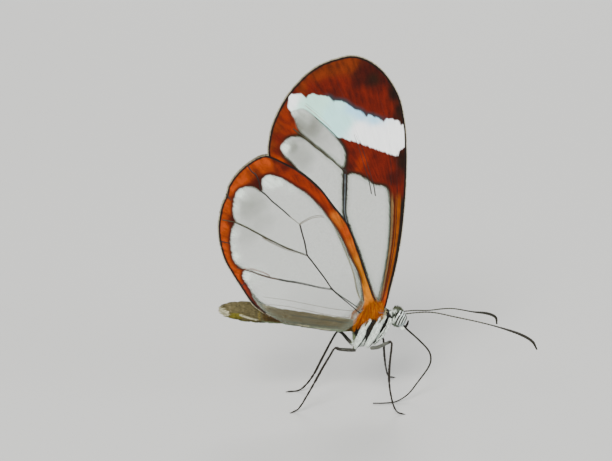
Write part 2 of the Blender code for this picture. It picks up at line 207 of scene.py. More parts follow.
# Shape helpers.
def smoothPath(knots, steps, closed=False):
    # a smooth curve through the knots, with so many steps between each two
    points = [Vector(knot) for knot in knots]
    count = len(points)
    line = []
    for i in range(count if closed else count - 1):
        b, c = points[i], points[(i + 1) % count]
        a = points[i - 1] if closed or i else 2 * b - c
        d = points[(i + 2) % count] if closed or i + 2 < count else 2 * c - b
        for step in range(steps):
            t = step / steps
            curve = 2 * b + (c - a) * t + (2 * a - 5 * b + 4 * c - d) * t**2 + (3 * b - a - 3 * c + d) * t**3
            line.append(curve / 2)
    if not closed:
        line.append(points[-1])
    return line


def soften(value):
    value = np.clip(value, 0.0, 1.0)
    return value * value * (3 - 2 * value)


def lineDistance(spots, line, closed=False):
    # how far each flat spot is from a line of flat points
    corners = np.array([tuple(point)[:2] for point in line], float)
    starts = corners if closed else corners[:-1]
    ends = np.roll(corners, -1, axis=0) if closed else corners[1:]
    nearest = np.full(len(spots), 1e9)
    for a, b in zip(starts, ends):
        span = b - a
        share = np.clip(((spots - a) @ span) / max(span @ span, 1e-12), 0, 1)
        nearest = np.minimum(nearest, np.linalg.norm(spots - a - share[:, None] * span, axis=1))
    return nearest


def insideBy(spots, outline):
    # the distance to a closed outline, counted as plus inside it and minus outside
    corners = np.array([tuple(point)[:2] for point in outline], float)
    crossings = np.zeros(len(spots), int)
    for a, b in zip(corners, np.roll(corners, -1, axis=0)):
        if a[1] != b[1]:
            spans = (a[1] > spots[:, 1]) != (b[1] > spots[:, 1])
            reach = a[0] + (spots[:, 1] - a[1]) * (b[0] - a[0]) / (b[1] - a[1])
            crossings += spans & (spots[:, 0] < reach)
    return lineDistance(spots, outline, True) * np.where(crossings % 2, 1, -1)


def applyModifier(piece, kind, **settings):
    modifier = piece.modifiers.new(kind.lower(), kind)
    for name, value in settings.items():
        setattr(modifier, name, value)
    bpy.context.view_layer.objects.active = piece
    bpy.ops.object.modifier_apply(modifier=modifier.name)


def onlySelect(*pieces):
    bpy.ops.object.select_all(action="DESELECT")
    for piece in pieces:
        piece.select_set(True)
    bpy.context.view_layer.objects.active = pieces[0]


def joinPieces(pieces, name):
    onlySelect(*pieces)
    if len(pieces) > 1:
        bpy.ops.object.join()
    joined = bpy.context.object
    joined.name = name
    return joined


def finishPiece(piece, slot, *nodes):
    piece.data.transform(Matrix.Scale(mm, 4) @ piece.matrix_world)
    piece.matrix_world = Matrix.Identity(4)
    onlySelect(piece)
    bpy.ops.object.shade_smooth_by_angle(angle=math.radians(50))
    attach(piece, "root")
    if nodes:
        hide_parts(*nodes)
    return piece


def setReading(piece, name, values):
    # a number or a colour at each point, which a material reads by its name
    values = np.asarray(values, np.float32)
    if values.ndim == 1:
        piece.data.attributes.new(name, "FLOAT", "POINT").data.foreach_set("value", values)
    else:
        colours = np.concatenate((values, np.ones((len(values), 1), np.float32)), axis=1)
        piece.data.attributes.new(name, "FLOAT_COLOR", "POINT").data.foreach_set("color", colours.ravel())


def placesOf(piece):
    places = np.zeros(len(piece.data.vertices) * 3)
    piece.data.vertices.foreach_get("co", places)
    return places.reshape(-1, 3)


def drawTube(name, points, radii, rounds, stuff):
    # a round tube laid along points: a curve with a bevel, made a mesh
    bpy.ops.curve.primitive_bezier_curve_add()
    tube = bpy.context.object
    tube.name = name
    curve = tube.data
    curve.splines.remove(curve.splines[0])
    line = curve.splines.new("POLY")
    line.points.add(len(points) - 1)
    for spot, place, radius in zip(line.points, points, radii):
        spot.co = (*place, 1)
        spot.radius = radius
    curve.bevel_depth = 1.0
    curve.bevel_resolution = rounds
    curve.use_fill_caps = True
    bpy.ops.object.convert(target="MESH")
    tube = bpy.context.object
    tube.data.materials.append(stuff)
    return tube


def turnOutward(piece):
    # every face of a closed piece looks out
    onlySelect(piece)
    bpy.ops.object.mode_set(mode="EDIT")
    bpy.ops.mesh.select_all(action="SELECT")
    bpy.ops.mesh.normals_make_consistent(inside=False)
    bpy.ops.object.mode_set(mode="OBJECT")


def plantSpikes(name, stuff, roots, along, out, lengths, widths, thickness, lift, readings, patches=None):
    # many slim closed spikes: a three-sided root and waist and one tip each, leaning off the surface by lift
    count = len(roots)
    roots, along, out = (np.array(rows, float) for rows in (roots, along, out))
    lengths, widths, lift = (np.broadcast_to(values, count)[:, None] for values in (lengths, widths, lift))
    along = along / np.linalg.norm(along, axis=1)[:, None]
    out = out / np.linalg.norm(out, axis=1)[:, None]
    side = np.cross(along, out)
    side /= np.maximum(np.linalg.norm(side, axis=1)[:, None], 1e-9)
    sunk = roots - out * thickness * 1.2
    waist = roots + along * lengths * 0.45 + out * lengths * lift * 0.55
    tip = roots + along * lengths + out * lengths * lift * 0.8
    corners = np.empty((count, 7, 3))
    for k, ring, half in ((0, sunk, 0.32), (3, waist, 0.5)):
        corners[:, k] = ring + side * widths * half
        corners[:, k + 1] = ring + out * thickness
        corners[:, k + 2] = ring - side * widths * half
    corners[:, 6] = tip
    pattern = ((0, 2, 1), (0, 1, 4, 3), (1, 2, 5, 4), (2, 0, 3, 5), (3, 4, 6), (4, 5, 6), (5, 3, 6))
    faces = [tuple(k + 7 * i for k in face) for i in range(count) for face in pattern]
    mesh = bpy.data.meshes.new(name)
    mesh.from_pydata(corners.reshape(-1, 3).tolist(), [], faces)
    piece = bpy.data.objects.new(name, mesh)
    bpy.context.collection.objects.link(piece)
    piece.data.materials.append(stuff)
    for label, values in readings.items():
        setReading(piece, label, np.repeat(values, 7, axis=0))
    if patches is not None:
        # each spike is one tiny patch at its root's place on the unwrapped skin
        bake = mesh.uv_layers.new(name="OFBake")
        spread = np.array(((0, 0), (0.5, 0.2), (1, 0), (0, 0.6), (0.5, 0.7), (1, 0.6), (0.5, 1))) * 0.003
        places = (np.array(patches)[:, None, :] + spread[None]).reshape(-1, 2)
        corner = np.zeros(len(mesh.loops), int)
        mesh.loops.foreach_get("vertex_index", corner)
        bake.data.foreach_set("uv", places[corner].ravel())
    turnOutward(piece)
    return piece


# Wings. Outlines, marks and veins are places on one plane beside the midplane, forward and up from
# the middle of the floor. Each slides along the line of sight onto its membrane.
sight = {"plane": 0.5, "slope": (0.1405, -0.3675)}
forewing = {
    "fringeFrom": 12.35,      # up from here the edge carries a fringe
    "outline": (
        (1.05, 11.05), (1.65, 13.45), (2.2, 15.8), (2.6, 18.2), (2.9, 20.55), (3.15, 24.05), (3.25, 27.55),
        (3.15, 30.95), (2.9, 33.25), (2.4, 35.5), (1.6, 37.2), (0.35, 38.9), (-1.25, 40.1), (-2.85, 40.6),
        (-4.55, 40.35), (-6.4, 39.7), (-8.0, 38.6), (-9.55, 36.95), (-10.55, 35.4), (-11.45, 33.45),
        (-11.85, 31.85), (-12.0, 30.15), (-11.6, 28.65), (-9.75, 27.3), (-7.5, 25.45), (-5.5, 22.85),
        (-4.05, 19.75), (-2.65, 16.1), (-1.7, 12.4), (0.1, 10.95),
    ),
    "windows": (
        (
            (0.45, 11.9), (0.7, 13.5), (1.05, 15.9), (1.35, 18.25), (1.5, 20.6), (1.5, 22.95), (1.4, 24.6),
            (1.25, 25.25), (1.0, 25.65), (0.55, 25.9), (-0.3, 26.05), (-0.8, 26.4), (-1.3, 26.8),
            (-2.05, 27.25), (-2.8, 27.45), (-3.25, 27.35), (-3.35, 26.9), (-3.35, 24.95), (-3.4, 22.75),
            (-2.75, 20.6), (-1.85, 18.2), (-0.95, 15.4), (-0.25, 13.2), (0.25, 11.95),
        ),
        (
            (-1.75, 12.2), (-2.2, 13.85), (-2.9, 16.2), (-4.25, 19.9), (-5.75, 23.05), (-7.6, 25.4),
            (-8.75, 27.95), (-9.25, 28.7), (-10.15, 29.6), (-10.6, 30.3), (-10.7, 30.8), (-10.45, 31.25),
            (-10.0, 31.7), (-9.3, 31.9), (-8.7, 31.9), (-8.05, 31.62), (-6.75, 30.5), (-5.2, 29.2),
            (-4.1, 28.13), (-3.8, 27.6), (-3.8, 24.95), (-3.75, 22.75), (-3.25, 20.6), (-2.35, 18.2),
            (-1.65, 15.4), (-1.1, 13.2), (-1.05, 12.35),
        ),
        (
            (-9.5, 34.65), (-9.2, 33.75), (-9.0, 33.2), (-8.6, 32.5), (-7.95, 31.8), (-6.72, 30.67),
            (-5.2, 29.35), (-4.02, 28.24), (-3.7, 28.2), (-3.55, 28.65), (-3.5, 29.45), (-3.65, 30.2),
            (-4.0, 30.9), (-4.75, 31.85), (-5.5, 32.65), (-6.75, 33.9), (-7.5, 34.65), (-7.9, 34.95),
            (-8.35, 35.0), (-9.0, 34.9),
        ),
    ),
    "band": (
        (-9.95, 35.45), (-9.75, 34.95), (-9.25, 34.55), (-8.55, 34.5), (-7.9, 34.7), (-6.75, 33.6),
        (-5.5, 32.4), (-4.6, 31.65), (-4.0, 31.6), (-3.15, 31.2), (-2.45, 31.0), (-1.4, 30.55),
        (-0.45, 30.2), (0.3, 29.85), (1.05, 29.6), (1.55, 29.3), (2.25, 29.2), (2.4, 29.7), (2.75, 30.05),
        (3.3, 30.3), (3.25, 32.55), (2.8, 32.7), (2.6, 33.0), (2.45, 32.85), (2.35, 33.25), (1.95, 33.3),
        (1.6, 33.5), (0.9, 33.5), (0.65, 33.15), (0.2, 33.5), (-0.45, 33.85), (-1.05, 34.0), (-1.3, 33.8),
        (-1.55, 34.15), (-1.95, 34.55), (-2.65, 34.8), (-3.2, 35.2), (-3.7, 35.6), (-4.5, 35.75),
        (-4.7, 35.5), (-5.25, 36.1), (-5.85, 36.3), (-6.6, 36.45), (-7.2, 36.65), (-7.6, 36.5),
        (-7.9, 36.25), (-8.15, 36.45), (-8.55, 36.65), (-9.5, 36.7), (-9.85, 36.2),
    ),
    # painted shadow: a dark slate blur along this line, just above the white band
    "shade": ((-5.3, 36.15), (-3.7, 35.65), (-2.65, 34.9), (-1.55, 34.25), (0.2, 33.6)),
    "fan": (3.0, 19.6),       # the rows of scales spread from here
    # how far the painted shadow above the white band spreads
    "shadeReach": 1.1,
    # the orange leading edge: from and up to this height, how soft its ends are, forward of here
    "costal": (12.2, 25.3, 1.6, -0.2),
    # tone, place, strength
    "tones": (
        ("brown", -3.3, 39.6, 1.0), ("brown", -6.6, 38.95, 1.0), ("brown", -8.2, 37.3, 0.6),
        ("brown", -5.4, 39.3, 0.6), ("brick", -4.2, 37.5, 1.0), ("brick", -5.85, 37.6, 1.0),
        ("brick", -2.0, 36.0, 1.0), ("brick", -0.35, 34.9, 1.0), ("brick", 0.9, 34.6, 1.0),
        ("brick", -7.3, 37.2, 1.0), ("brick", -9.3, 36.9, 0.4), ("maroon", -2.5, 37.8, 0.35),
        ("maroon", -4.9, 36.6, 0.15), ("maroon", -0.1, 39.3, 0.6), ("dusk", -0.6, 38.0, 0.6),
        ("maroon", -1.7, 38.9, 0.4), ("maroon", 0.6, 38.3, 0.5), ("dusk", 1.7, 36.3, 0.6),
        ("dusk", 2.5, 34.2, 0.6), ("brick", 0.2, 36.3, 0.8), ("brown", -11.3, 33.0, 0.7),
        ("brown", -11.75, 31.0, 0.8), ("brown", -10.9, 34.6, 0.5), ("rust", -10.15, 34.0, 0.8),
        ("rust", -9.65, 33.1, 0.5), ("brick", -10.9, 31.6, 0.7), ("brick", -10.95, 30.2, 0.6),
        ("orange", -11.2, 29.2, 0.5), ("brick", -9.6, 28.2, 0.6), ("brick", -8.2, 26.6, 0.6),
        ("maroon", -3.1, 30.1, 0.15), ("maroon", -3.0, 28.35, 0.2), ("rust", -1.7, 28.55, 1.0),
        ("brick", -0.3, 28.9, 1.0), ("brick", -0.9, 27.4, 0.6), ("brick", 1.2, 28.2, 0.9),
        ("brick", 0.4, 26.9, 0.7), ("maroon", 1.9, 26.9, 0.5), ("dusk", 2.75, 28.6, 0.7),
        ("brick", 2.2, 25.0, 0.5), ("olive", -8.4, 32.2, 0.1), ("olive", -6.75, 30.6, 0.1),
        ("olive", -5.2, 29.25, 0.1), ("brick", -3.8, 31.3, 0.2), ("brick", -2.9, 30.6, 0.6),
        ("brick", -2.7, 29.3, 0.6), ("ink", -3.6, 27.8, 0.03), ("ink", -3.6, 25.0, 0.1),
        ("ink", -3.4, 21.5, 0.1), ("ink", -2.2, 17.9, 0.1), ("ink", -1.2, 15.0, 0.1),
        ("ink", -4.45, 19.95, 0.1), ("ink", -3.4, 17.4, 0.1), ("ink", -2.3, 14.6, 0.1),
        ("rust", 0.3, 12.0, 0.5), ("amber", -0.7, 11.9, 0.6), ("amber", -1.35, 12.2, 0.4),
        ("orange", 0.7, 11.4, 0.8), ("orange", 1.35, 12.6, 0.5),
    ),
    "chalkTones": (
        ("white", 1.9, 31.6, 1.0), ("white", -0.35, 31.9, 1.0), ("white", -9.3, 35.95, 1.0),
        ("white", -2.0, 32.4, 1.0), ("white", 1.15, 29.9, 1.0), ("sky", -2.9, 35.0, 0.6),
        ("ice", -4.2, 35.4, 0.8), ("sky", -0.45, 33.5, 0.3), ("sky", -1.8, 34.1, 0.4),
        ("mint", -6.4, 35.6, 0.8), ("mint", -8.3, 35.5, 0.5), ("mint", -7.4, 36.1, 0.6),
        ("ice", -5.3, 34.1, 0.8), ("ice", -3.65, 33.3, 0.8), ("ice", -4.7, 32.7, 0.8),
        ("mint", -6.6, 34.2, 0.4),
    ),
    # places of haze in the windows: forward, up, reach, strength
    "frost": (
        (-10.35, 30.65, 0.75, 0.9), (-9.9, 31.2, 0.7, 0.35), (-9.3, 34.75, 0.7, 0.4),
        (-8.3, 34.5, 1.2, 0.3),
    ),
    "smoke": (
        (-8.6, 33.6, 1.6, 0.65), (-7.6, 33.0, 2.2, 0.45), (-6.5, 32.0, 3.0, 0.22), (-9.6, 30.9, 1.2, 0.5),
        (-8.6, 29.6, 2.4, 0.28),
    ),
    "sheer": ((-1.9, 12.6, 0.5), (-1.5, 11.7, 0.6)),
    "bare": (
        (-8.5, 35.0, 0.9), (-9.3, 33.7, 0.9), (-8.9, 33.0, 0.7), (-10.5, 30.9, 0.8), (-5.5, 32.7, 1.2),
        (-7.2, 34.4, 1.2),
    ),
    "veins": (
        ("dark", 0.06, (
            (-4.1, 28.15), (-3.7, 27.8), (-3.75, 26.95), (-3.8, 25.55), (-3.75, 23.8), (-3.65, 22.75),
            (-3.15, 20.6), (-2.3, 18.2), (-1.5, 15.4), (-0.85, 13.2), (-0.3, 11.7),
        )),
        ("dark", 0.06, (
            (-4.1, 28.15), (-3.5, 27.7), (-3.4, 26.9), (-3.4, 25.55), (-3.5, 23.8), (-3.45, 22.75),
            (-2.95, 20.6), (-2.05, 18.2), (-1.3, 15.4), (-0.65, 13.2), (-0.15, 11.7),
        )),
        # painted highlight: the lit middle of the vein whose dark edges are the two lines above
        ("steel", 0.075, (
            (-3.58, 27.4), (-3.58, 25.55), (-3.62, 23.8), (-3.55, 22.75), (-3.05, 20.6), (-2.18, 18.2),
            (-1.4, 15.4), (-0.75, 13.2),
        )),
        ("dark", 0.05, (
            (-6.9, 34.0), (-5.85, 33.05), (-4.75, 31.95), (-4.05, 31.1), (-3.6, 30.3), (-3.45, 29.55),
            (-3.45, 28.65), (-3.6, 27.85),
        )),
        ("pale", 0.06, ((-8.0, 35.4), (-6.75, 34.25), (-5.85, 33.4), (-5.1, 32.65))),
        ("grey", 0.03, ((-7.95, 35.6), (-6.65, 34.5), (-5.7, 33.6), (-4.6, 32.45))),
        ("olive", 0.07, (
            (-9.3, 32.8), (-8.5, 32.1), (-7.85, 31.55), (-6.75, 30.55), (-5.2, 29.2), (-4.1, 28.15),
            (-3.6, 27.7),
        )),
        ("dark", 0.045, (
            (-0.6, 24.95), (-0.8, 26.0), (-1.0, 26.75), (-1.65, 28.9), (-2.25, 30.8), (-2.65, 31.9),
        )),
        ("dark", 0.045, (
            (-0.15, 24.7), (-0.35, 25.85), (-0.55, 26.55), (-1.25, 28.9), (-1.85, 30.75), (-2.0, 31.2),
        )),
        ("dark", 0.03, ((-1.95, 30.75), (-2.4, 31.7), (-3.0, 32.5))),
        ("mist", 0.03, ((-2.0, 31.2), (-2.9, 33.7), (-3.6, 35.6))),
        ("maroon", 0.03, ((-3.75, 35.95), (-4.55, 38.0), (-5.0, 40.1))),
        ("dark", 0.035, ((1.55, 25.85), (1.5, 28.2), (1.4, 29.4))),
        ("mist", 0.03, ((1.4, 29.4), (1.3, 30.5), (0.95, 32.75), (0.8, 33.5))),
        ("maroon", 0.03, ((0.8, 33.5), (0.4, 35.05), (-0.65, 37.85), (-1.65, 40.0))),
        ("maroon", 0.025, ((-2.2, 35.0), (-2.9, 37.45), (-3.6, 40.2))),
        ("maroon", 0.03, ((-6.6, 36.5), (-7.3, 37.9), (-7.8, 38.6))),
        ("maroon", 0.06, (
            (0.8, 12.25), (1.25, 14.05), (1.7, 16.45), (2.05, 18.8), (2.2, 21.15), (2.25, 23.5),
            (2.25, 25.25), (2.2, 27.0), (2.15, 29.0),
        )),
        ("tan", 0.05, ((0.55, 12.05), (1.0, 14.1), (1.4, 16.45), (1.65, 18.85), (1.8, 21.2), (1.75, 23.9))),
    ),
}
hindwing = {
    "fringeFrom": 11.3,
    "outline": (
        (0.1, 11.6), (-0.3, 13.05), (-1.05, 15.4), (-1.95, 18.2), (-2.85, 20.7), (-3.45, 21.95),
        (-4.75, 23.7), (-6.35, 25.9), (-8.45, 27.85), (-9.95, 28.8), (-11.75, 29.75), (-12.7, 29.8),
        (-13.6, 29.4), (-14.5, 28.8), (-15.5, 27.85), (-16.3, 26.65), (-16.6, 25.55), (-17.1, 24.4),
        (-17.4, 23.05), (-17.55, 21.7), (-17.4, 19.95), (-16.9, 18.0), (-16.0, 16.2), (-14.95, 14.35),
        (-13.7, 12.45), (-12.1, 11.2), (-10.7, 10.3), (-9.5, 9.9), (-7.2, 9.3), (-4.95, 8.75),
        (-3.45, 8.85), (-2.4, 9.55), (-1.5, 10.45),
    ),
    "windows": (
        (
            (-1.3, 12.0), (-1.4, 13.15), (-1.6, 14.2), (-1.9, 15.3), (-2.3, 16.4), (-2.85, 17.5),
            (-3.35, 18.7), (-3.85, 19.8), (-4.35, 20.85), (-4.8, 21.5), (-5.35, 22.35), (-5.95, 23.25),
            (-6.6, 24.05), (-7.35, 24.9), (-8.05, 25.55), (-8.6, 25.9), (-9.35, 26.4), (-10.0, 26.85),
            (-10.6, 27.25), (-11.35, 27.55), (-11.9, 27.65), (-12.45, 27.45), (-12.7, 27.1),
            (-12.75, 26.4), (-12.8, 25.8), (-13.2, 26.1), (-13.65, 26.35), (-14.15, 26.5), (-14.7, 26.4),
            (-15.2, 26.2), (-15.55, 25.75), (-15.8, 25.2), (-15.9, 24.5), (-15.95, 23.6), (-15.9, 22.9),
            (-15.7, 22.4), (-15.9, 22.1), (-16.1, 21.7), (-16.2, 21.05), (-16.3, 20.25), (-16.25, 19.4),
            (-16.15, 18.7), (-16.0, 18.0), (-15.55, 17.3), (-14.8, 16.7), (-14.95, 16.4), (-15.0, 15.9),
            (-14.8, 15.45), (-14.4, 14.85), (-14.05, 14.15), (-13.85, 13.45), (-13.45, 12.75),
            (-12.85, 12.0), (-11.95, 11.25), (-10.65, 10.4), (-9.5, 10.0), (-7.2, 9.45), (-4.95, 8.95),
            (-3.7, 9.05), (-2.65, 9.85), (-2.1, 10.5),
        ),
    ),
    "fan": (-0.5, 12.0),
    "tones": (
        ("orange", -12.4, 28.9, 1.0), ("orange", -14.6, 27.9, 1.0), ("orange", -15.9, 26.4, 0.8),
        ("orange", -16.7, 24.45, 1.0), ("orange", -16.95, 21.55, 1.0), ("orange", -16.55, 18.6, 1.0),
        ("orange", -15.7, 16.55, 0.8), ("rust", -14.5, 14.5, 0.8), ("rust", -13.1, 12.3, 0.6),
        ("rust", -10.2, 27.9, 1.0), ("rust", -8.6, 26.7, 1.0), ("rust", -7.1, 25.0, 1.0),
        ("rust", -5.9, 23.5, 0.7), ("amber", -4.65, 22.1, 0.5), ("maroon", -13.15, 26.9, 0.7),
        ("maroon", -13.0, 27.4, 0.25), ("maroon", -11.4, 29.2, 0.35), ("maroon", -10.2, 28.5, 0.35),
        ("maroon", -16.1, 22.4, 0.2), ("maroon", -16.4, 25.3, 0.12), ("orange", -3.75, 20.4, 0.7),
        ("amber", -3.0, 18.6, 0.8), ("gold", -2.1, 16.3, 0.9), ("gold", -1.45, 14.6, 0.9),
        ("glow", -0.95, 12.9, 0.9), ("glow", -0.55, 11.9, 0.5), ("amber", -0.3, 11.5, 0.8),
        ("amber", -1.7, 10.5, 0.6), ("brown", -3.0, 9.3, 0.5), ("brown", -7.2, 9.4, 0.5),
        ("brown", -10.7, 10.5, 0.5),
    ),
    "chalkTones": (("white", 0.0, 0.0, 1.0),),
    "frost": (
        (-12.05, 27.0, 1.1, 1.0), (-10.9, 26.9, 0.8, 0.75), (-9.6, 26.2, 0.8, 0.4),
        (-15.35, 25.5, 0.8, 0.75), (-14.7, 25.8, 0.9, 0.35), (-15.75, 24.2, 0.7, 0.5),
        (-15.85, 22.9, 0.6, 0.3), (-16.1, 21.0, 0.8, 0.5), (-16.1, 19.6, 0.8, 0.5),
        (-15.8, 18.3, 0.8, 0.6), (-14.6, 16.2, 0.9, 0.7), (-13.6, 15.9, 1.2, 0.35),
        (-14.2, 14.7, 0.7, 0.4), (-12.0, 13.6, 1.8, 0.15), (-2.3, 10.4, 0.5, 0.3),
    ),
    "smoke": (
        (-14.1, 24.2, 2.6, 0.3), (-14.6, 21.0, 2.4, 0.2), (-12.9, 22.4, 2.2, 0.2), (-7.5, 10.3, 2.2, 0.15),
    ),
    "sheer": (
        (-12.0, 11.1, 0.5), (-10.9, 10.4, 0.7), (-9.6, 9.9, 0.7), (-8.4, 9.6, 0.7), (-1.5, 10.3, 0.8),
        (-2.4, 9.5, 0.8), (-3.6, 8.8, 0.9), (-4.9, 8.9, 0.9), (-6.3, 9.1, 0.8), (-7.6, 9.4, 0.6),
        (-0.3, 10.9, 0.35),
    ),
    "bare": (
        (-7.2, 9.4, 2.4), (-4.9, 8.9, 2.0), (-2.4, 10.2, 1.2), (-1.3, 12.4, 0.9), (-1.5, 14.0, 0.6),
        (-10.4, 10.4, 0.8),
    ),
    "veins": (
        ("dark", 0.07, (
            (-14.3, 28.9), (-13.85, 28.15), (-13.4, 27.75), (-13.05, 26.9), (-12.85, 25.9), (-12.25, 25.3),
            (-11.65, 24.6), (-11.1, 24.1), (-10.45, 23.5), (-9.65, 22.7),
        )),
        ("olive", 0.06, (
            (-17.15, 22.75), (-15.95, 22.45), (-15.45, 22.2), (-14.6, 21.75), (-13.7, 21.2),
            (-12.75, 20.6), (-11.4, 19.8), (-10.25, 19.15), (-9.1, 18.6), (-7.7, 18.0),
        )),
        ("tan", 0.03, ((-12.75, 20.4), (-11.4, 19.55), (-10.25, 18.95), (-9.1, 18.45))),
        ("rust", 0.035, (
            (-15.7, 16.95), (-14.85, 16.85), (-14.05, 16.75), (-13.2, 16.5), (-12.45, 16.15),
            (-11.9, 15.8),
        )),
        ("brown", 0.06, (
            (-15.6, 17.1), (-14.85, 16.8), (-13.9, 16.45), (-13.2, 16.1), (-12.45, 15.8), (-11.7, 15.55),
            (-10.95, 15.35),
        )),
        ("dark", 0.055, (
            (-10.95, 15.35), (-10.05, 15.1), (-9.1, 14.9), (-8.35, 14.7), (-7.45, 14.45), (-6.3, 14.1),
            (-4.95, 13.8),
        )),
        ("dark", 0.08, (
            (-8.55, 21.7), (-8.3, 20.65), (-8.05, 19.7), (-7.85, 18.65), (-7.7, 18.0), (-7.2, 17.3),
            (-6.45, 16.2), (-5.7, 15.1), (-4.95, 13.9), (-4.15, 13.05), (-3.15, 12.15), (-2.25, 11.3),
            (-1.65, 10.75),
        )),
        ("tan", 0.035, (
            (-8.55, 21.75), (-8.25, 21.95), (-7.8, 22.2), (-7.2, 22.45), (-6.45, 22.55), (-5.85, 22.45),
        )),
        ("tan", 0.022, ((-9.65, 22.7), (-8.6, 21.75))),
        ("tan", 0.025, (
            (-2.1, 10.25), (-4.05, 10.55), (-6.3, 11.1), (-8.55, 11.75), (-10.25, 12.2), (-12.5, 12.55),
        )),
        ("dark", 0.07, ((-16.65, 25.65), (-16.15, 24.95))),
        ("dark", 0.07, ((-17.5, 20.3), (-16.3, 19.95))),
        ("dark", 0.07, ((-15.2, 14.8), (-14.6, 15.2))),
        ("dark", 0.04, (
            (-0.05, 12.0), (-1.05, 15.3), (-1.9, 18.0), (-2.8, 20.5), (-3.45, 21.8), (-4.75, 23.55),
            (-6.35, 25.75), (-8.45, 27.65), (-9.95, 28.6), (-11.4, 29.4),
        )),
        ("brown", 0.05, (
            (-1.35, 12.3), (-1.55, 14.0), (-1.85, 15.3), (-2.3, 16.5), (-3.35, 18.8), (-4.35, 20.95),
            (-5.35, 22.45),
        )),
        ("brown", 0.055, ((-13.3, 12.2), (-12.3, 11.3), (-10.75, 10.35))),
        ("brown", 0.03, ((-10.6, 10.5), (-9.5, 10.0), (-7.2, 9.38), (-4.95, 8.88), (-3.6, 8.95))),
    ),
}
tonePalette = {
    "glow": (0.44, 0.135, 0.002), "gold": (0.32, 0.10, 0.002), "amber": (0.30, 0.065, 0.003),
    "orange": (0.26, 0.034, 0.001), "rust": (0.16, 0.013, 0.0005), "brick": (0.088, 0.005, 0.0003),
    "brown": (0.105, 0.015, 0.0008), "maroon": (0.032, 0.002, 0.0003), "dusk": (0.010, 0.003, 0.0005),
    "ink": (0.009, 0.010, 0.009), "olive": (0.024, 0.022, 0.004), "white": (0.96, 0.97, 0.96),
    "ice": (0.44, 0.80, 0.76), "sky": (0.34, 0.66, 0.86), "mint": (0.46, 0.80, 0.66),
}
wingMake = {
    "thickness": 0.05,
    "spacing": 0.22,
    "foreOffset": 0.11,       # from the midplane, over most of the wing
    "foreRootOffset": 0.52,
    "hindOffset": 0.17,
    "hindLap": 0.25,          # where the hindwing lies over the forewing
    "hindSpread": 1.16,       # beside the abdomen
    "foreRooted": (15.5, 4.0),     # it bends out to its root below this height, within this reach
    "hindRooted": (15.0, 4.5),
    "hindRootFrom": (-5.0, 4.0),   # forward of here, within this reach
    "overBody": 2.6,          # how far above the abdomen the hindwing starts to bend out
    "lapReach": 3.0,
    "ripple": 0.02,
    "toneReach": 0.45,
    "fanReach": 13.0,
    "warp": 0.3,
}


def abdomenAt(x, line):
    # the abdomen's underside, top and half width at places along it
    table = np.array([tuple(point) for point in line])
    return [np.interp(-x, -table[:, 0], table[:, k]) for k in (1, 2, 3)]


def wingOffset(kind, x, z):
    # how far the membrane is from the midplane at places in its plane
    wave = wingMake["ripple"] * np.sin(x * 0.9 + z * 0.35) * np.sin(z * 0.5 - x * 0.3)
    below, reach = wingMake[kind + "Rooted"]
    rooted = soften((below - z) / reach)
    if kind == "fore":
        bend = (wingMake["foreRootOffset"] - wingMake["foreOffset"]) * rooted
        return wingMake["foreOffset"] + bend + wave * (1 - rooted)
    spots = np.stack((x, z), axis=1)
    behind = np.maximum(0.0, -insideBy(spots, smoothPath(forewing["outline"], 4, True)))
    apart = soften(behind / wingMake["lapReach"])
    lap = wingMake["hindLap"] - (wingMake["hindLap"] - wingMake["hindOffset"]) * apart
    beside = soften((abdomenAt(x, bodyPlan["abdomen"])[1] + wingMake["overBody"] - z) / wingMake["overBody"])
    start, reach = wingMake["hindRootFrom"]
    out = np.maximum(beside, rooted * soften((x - start) / reach) * 0.8)
    return lap + (wingMake["hindSpread"] - lap) * out + wave * (1 - out)


def slide(kind, spots):
    # how far a mark moves to reach the membrane at these places
    apart = sight["plane"] - wingOffset(kind, spots[:, 0], spots[:, 1])
    return apart[:, None] * np.array(sight["slope"])


def onMembrane(kind, marks):
    marks = np.array([tuple(mark)[:2] for mark in marks], float)
    spots = marks
    for _ in range(4):
        spots = marks + slide(kind, spots)
    return spots


def cutWing(name, rim):
    # a filled outline, cut into a fine grid so that it can bend and carry its markings
    bpy.ops.mesh.primitive_circle_add(vertices=len(rim), radius=10, fill_type="NGON")
    wing = bpy.context.object
    wing.name = name
    for vertex, spot in zip(wing.data.vertices, rim):
        vertex.co = (spot[0], 0, spot[1])
    bpy.ops.object.mode_set(mode="EDIT")
    step = wingMake["spacing"]
    for axis in (0, 2):
        values = rim[:, axis // 2]
        normal = [0, 0, 0]
        normal[axis] = 1
        for k in range(int(min(values) / step), int(max(values) / step) + 1):
            point = [0, 0, 0]
            point[axis] = (k + 0.37) * step
            bpy.ops.mesh.select_all(action="SELECT")
            bpy.ops.mesh.bisect(plane_co=point, plane_no=normal, threshold=1e-5)
    bpy.ops.object.mode_set(mode="OBJECT")
    return wing


def blobs(spots, places):
    # soft round patches, the strongest one counting at each spot
    found = np.zeros(len(spots))
    for place in places:
        strength = place[3] if len(place) > 3 else 1.0
        apart = np.linalg.norm(spots - np.array(place[:2]), axis=1)
        found = np.maximum(found, strength * soften(1 - apart / (place[2] * 1.6)))
    return found


def toneField(spots, places):
    # the tones of listed patches, each fading into the next
    total, weight = np.zeros((len(spots), 3)), np.zeros(len(spots))
    for tone, x, z, strength in places:
        share = strength / (((spots - (x, z)) ** 2).sum(axis=1) + wingMake["toneReach"] ** 2) ** 2
        total += share[:, None] * np.array(tonePalette[tone])
        weight += share
    return total / weight[:, None]


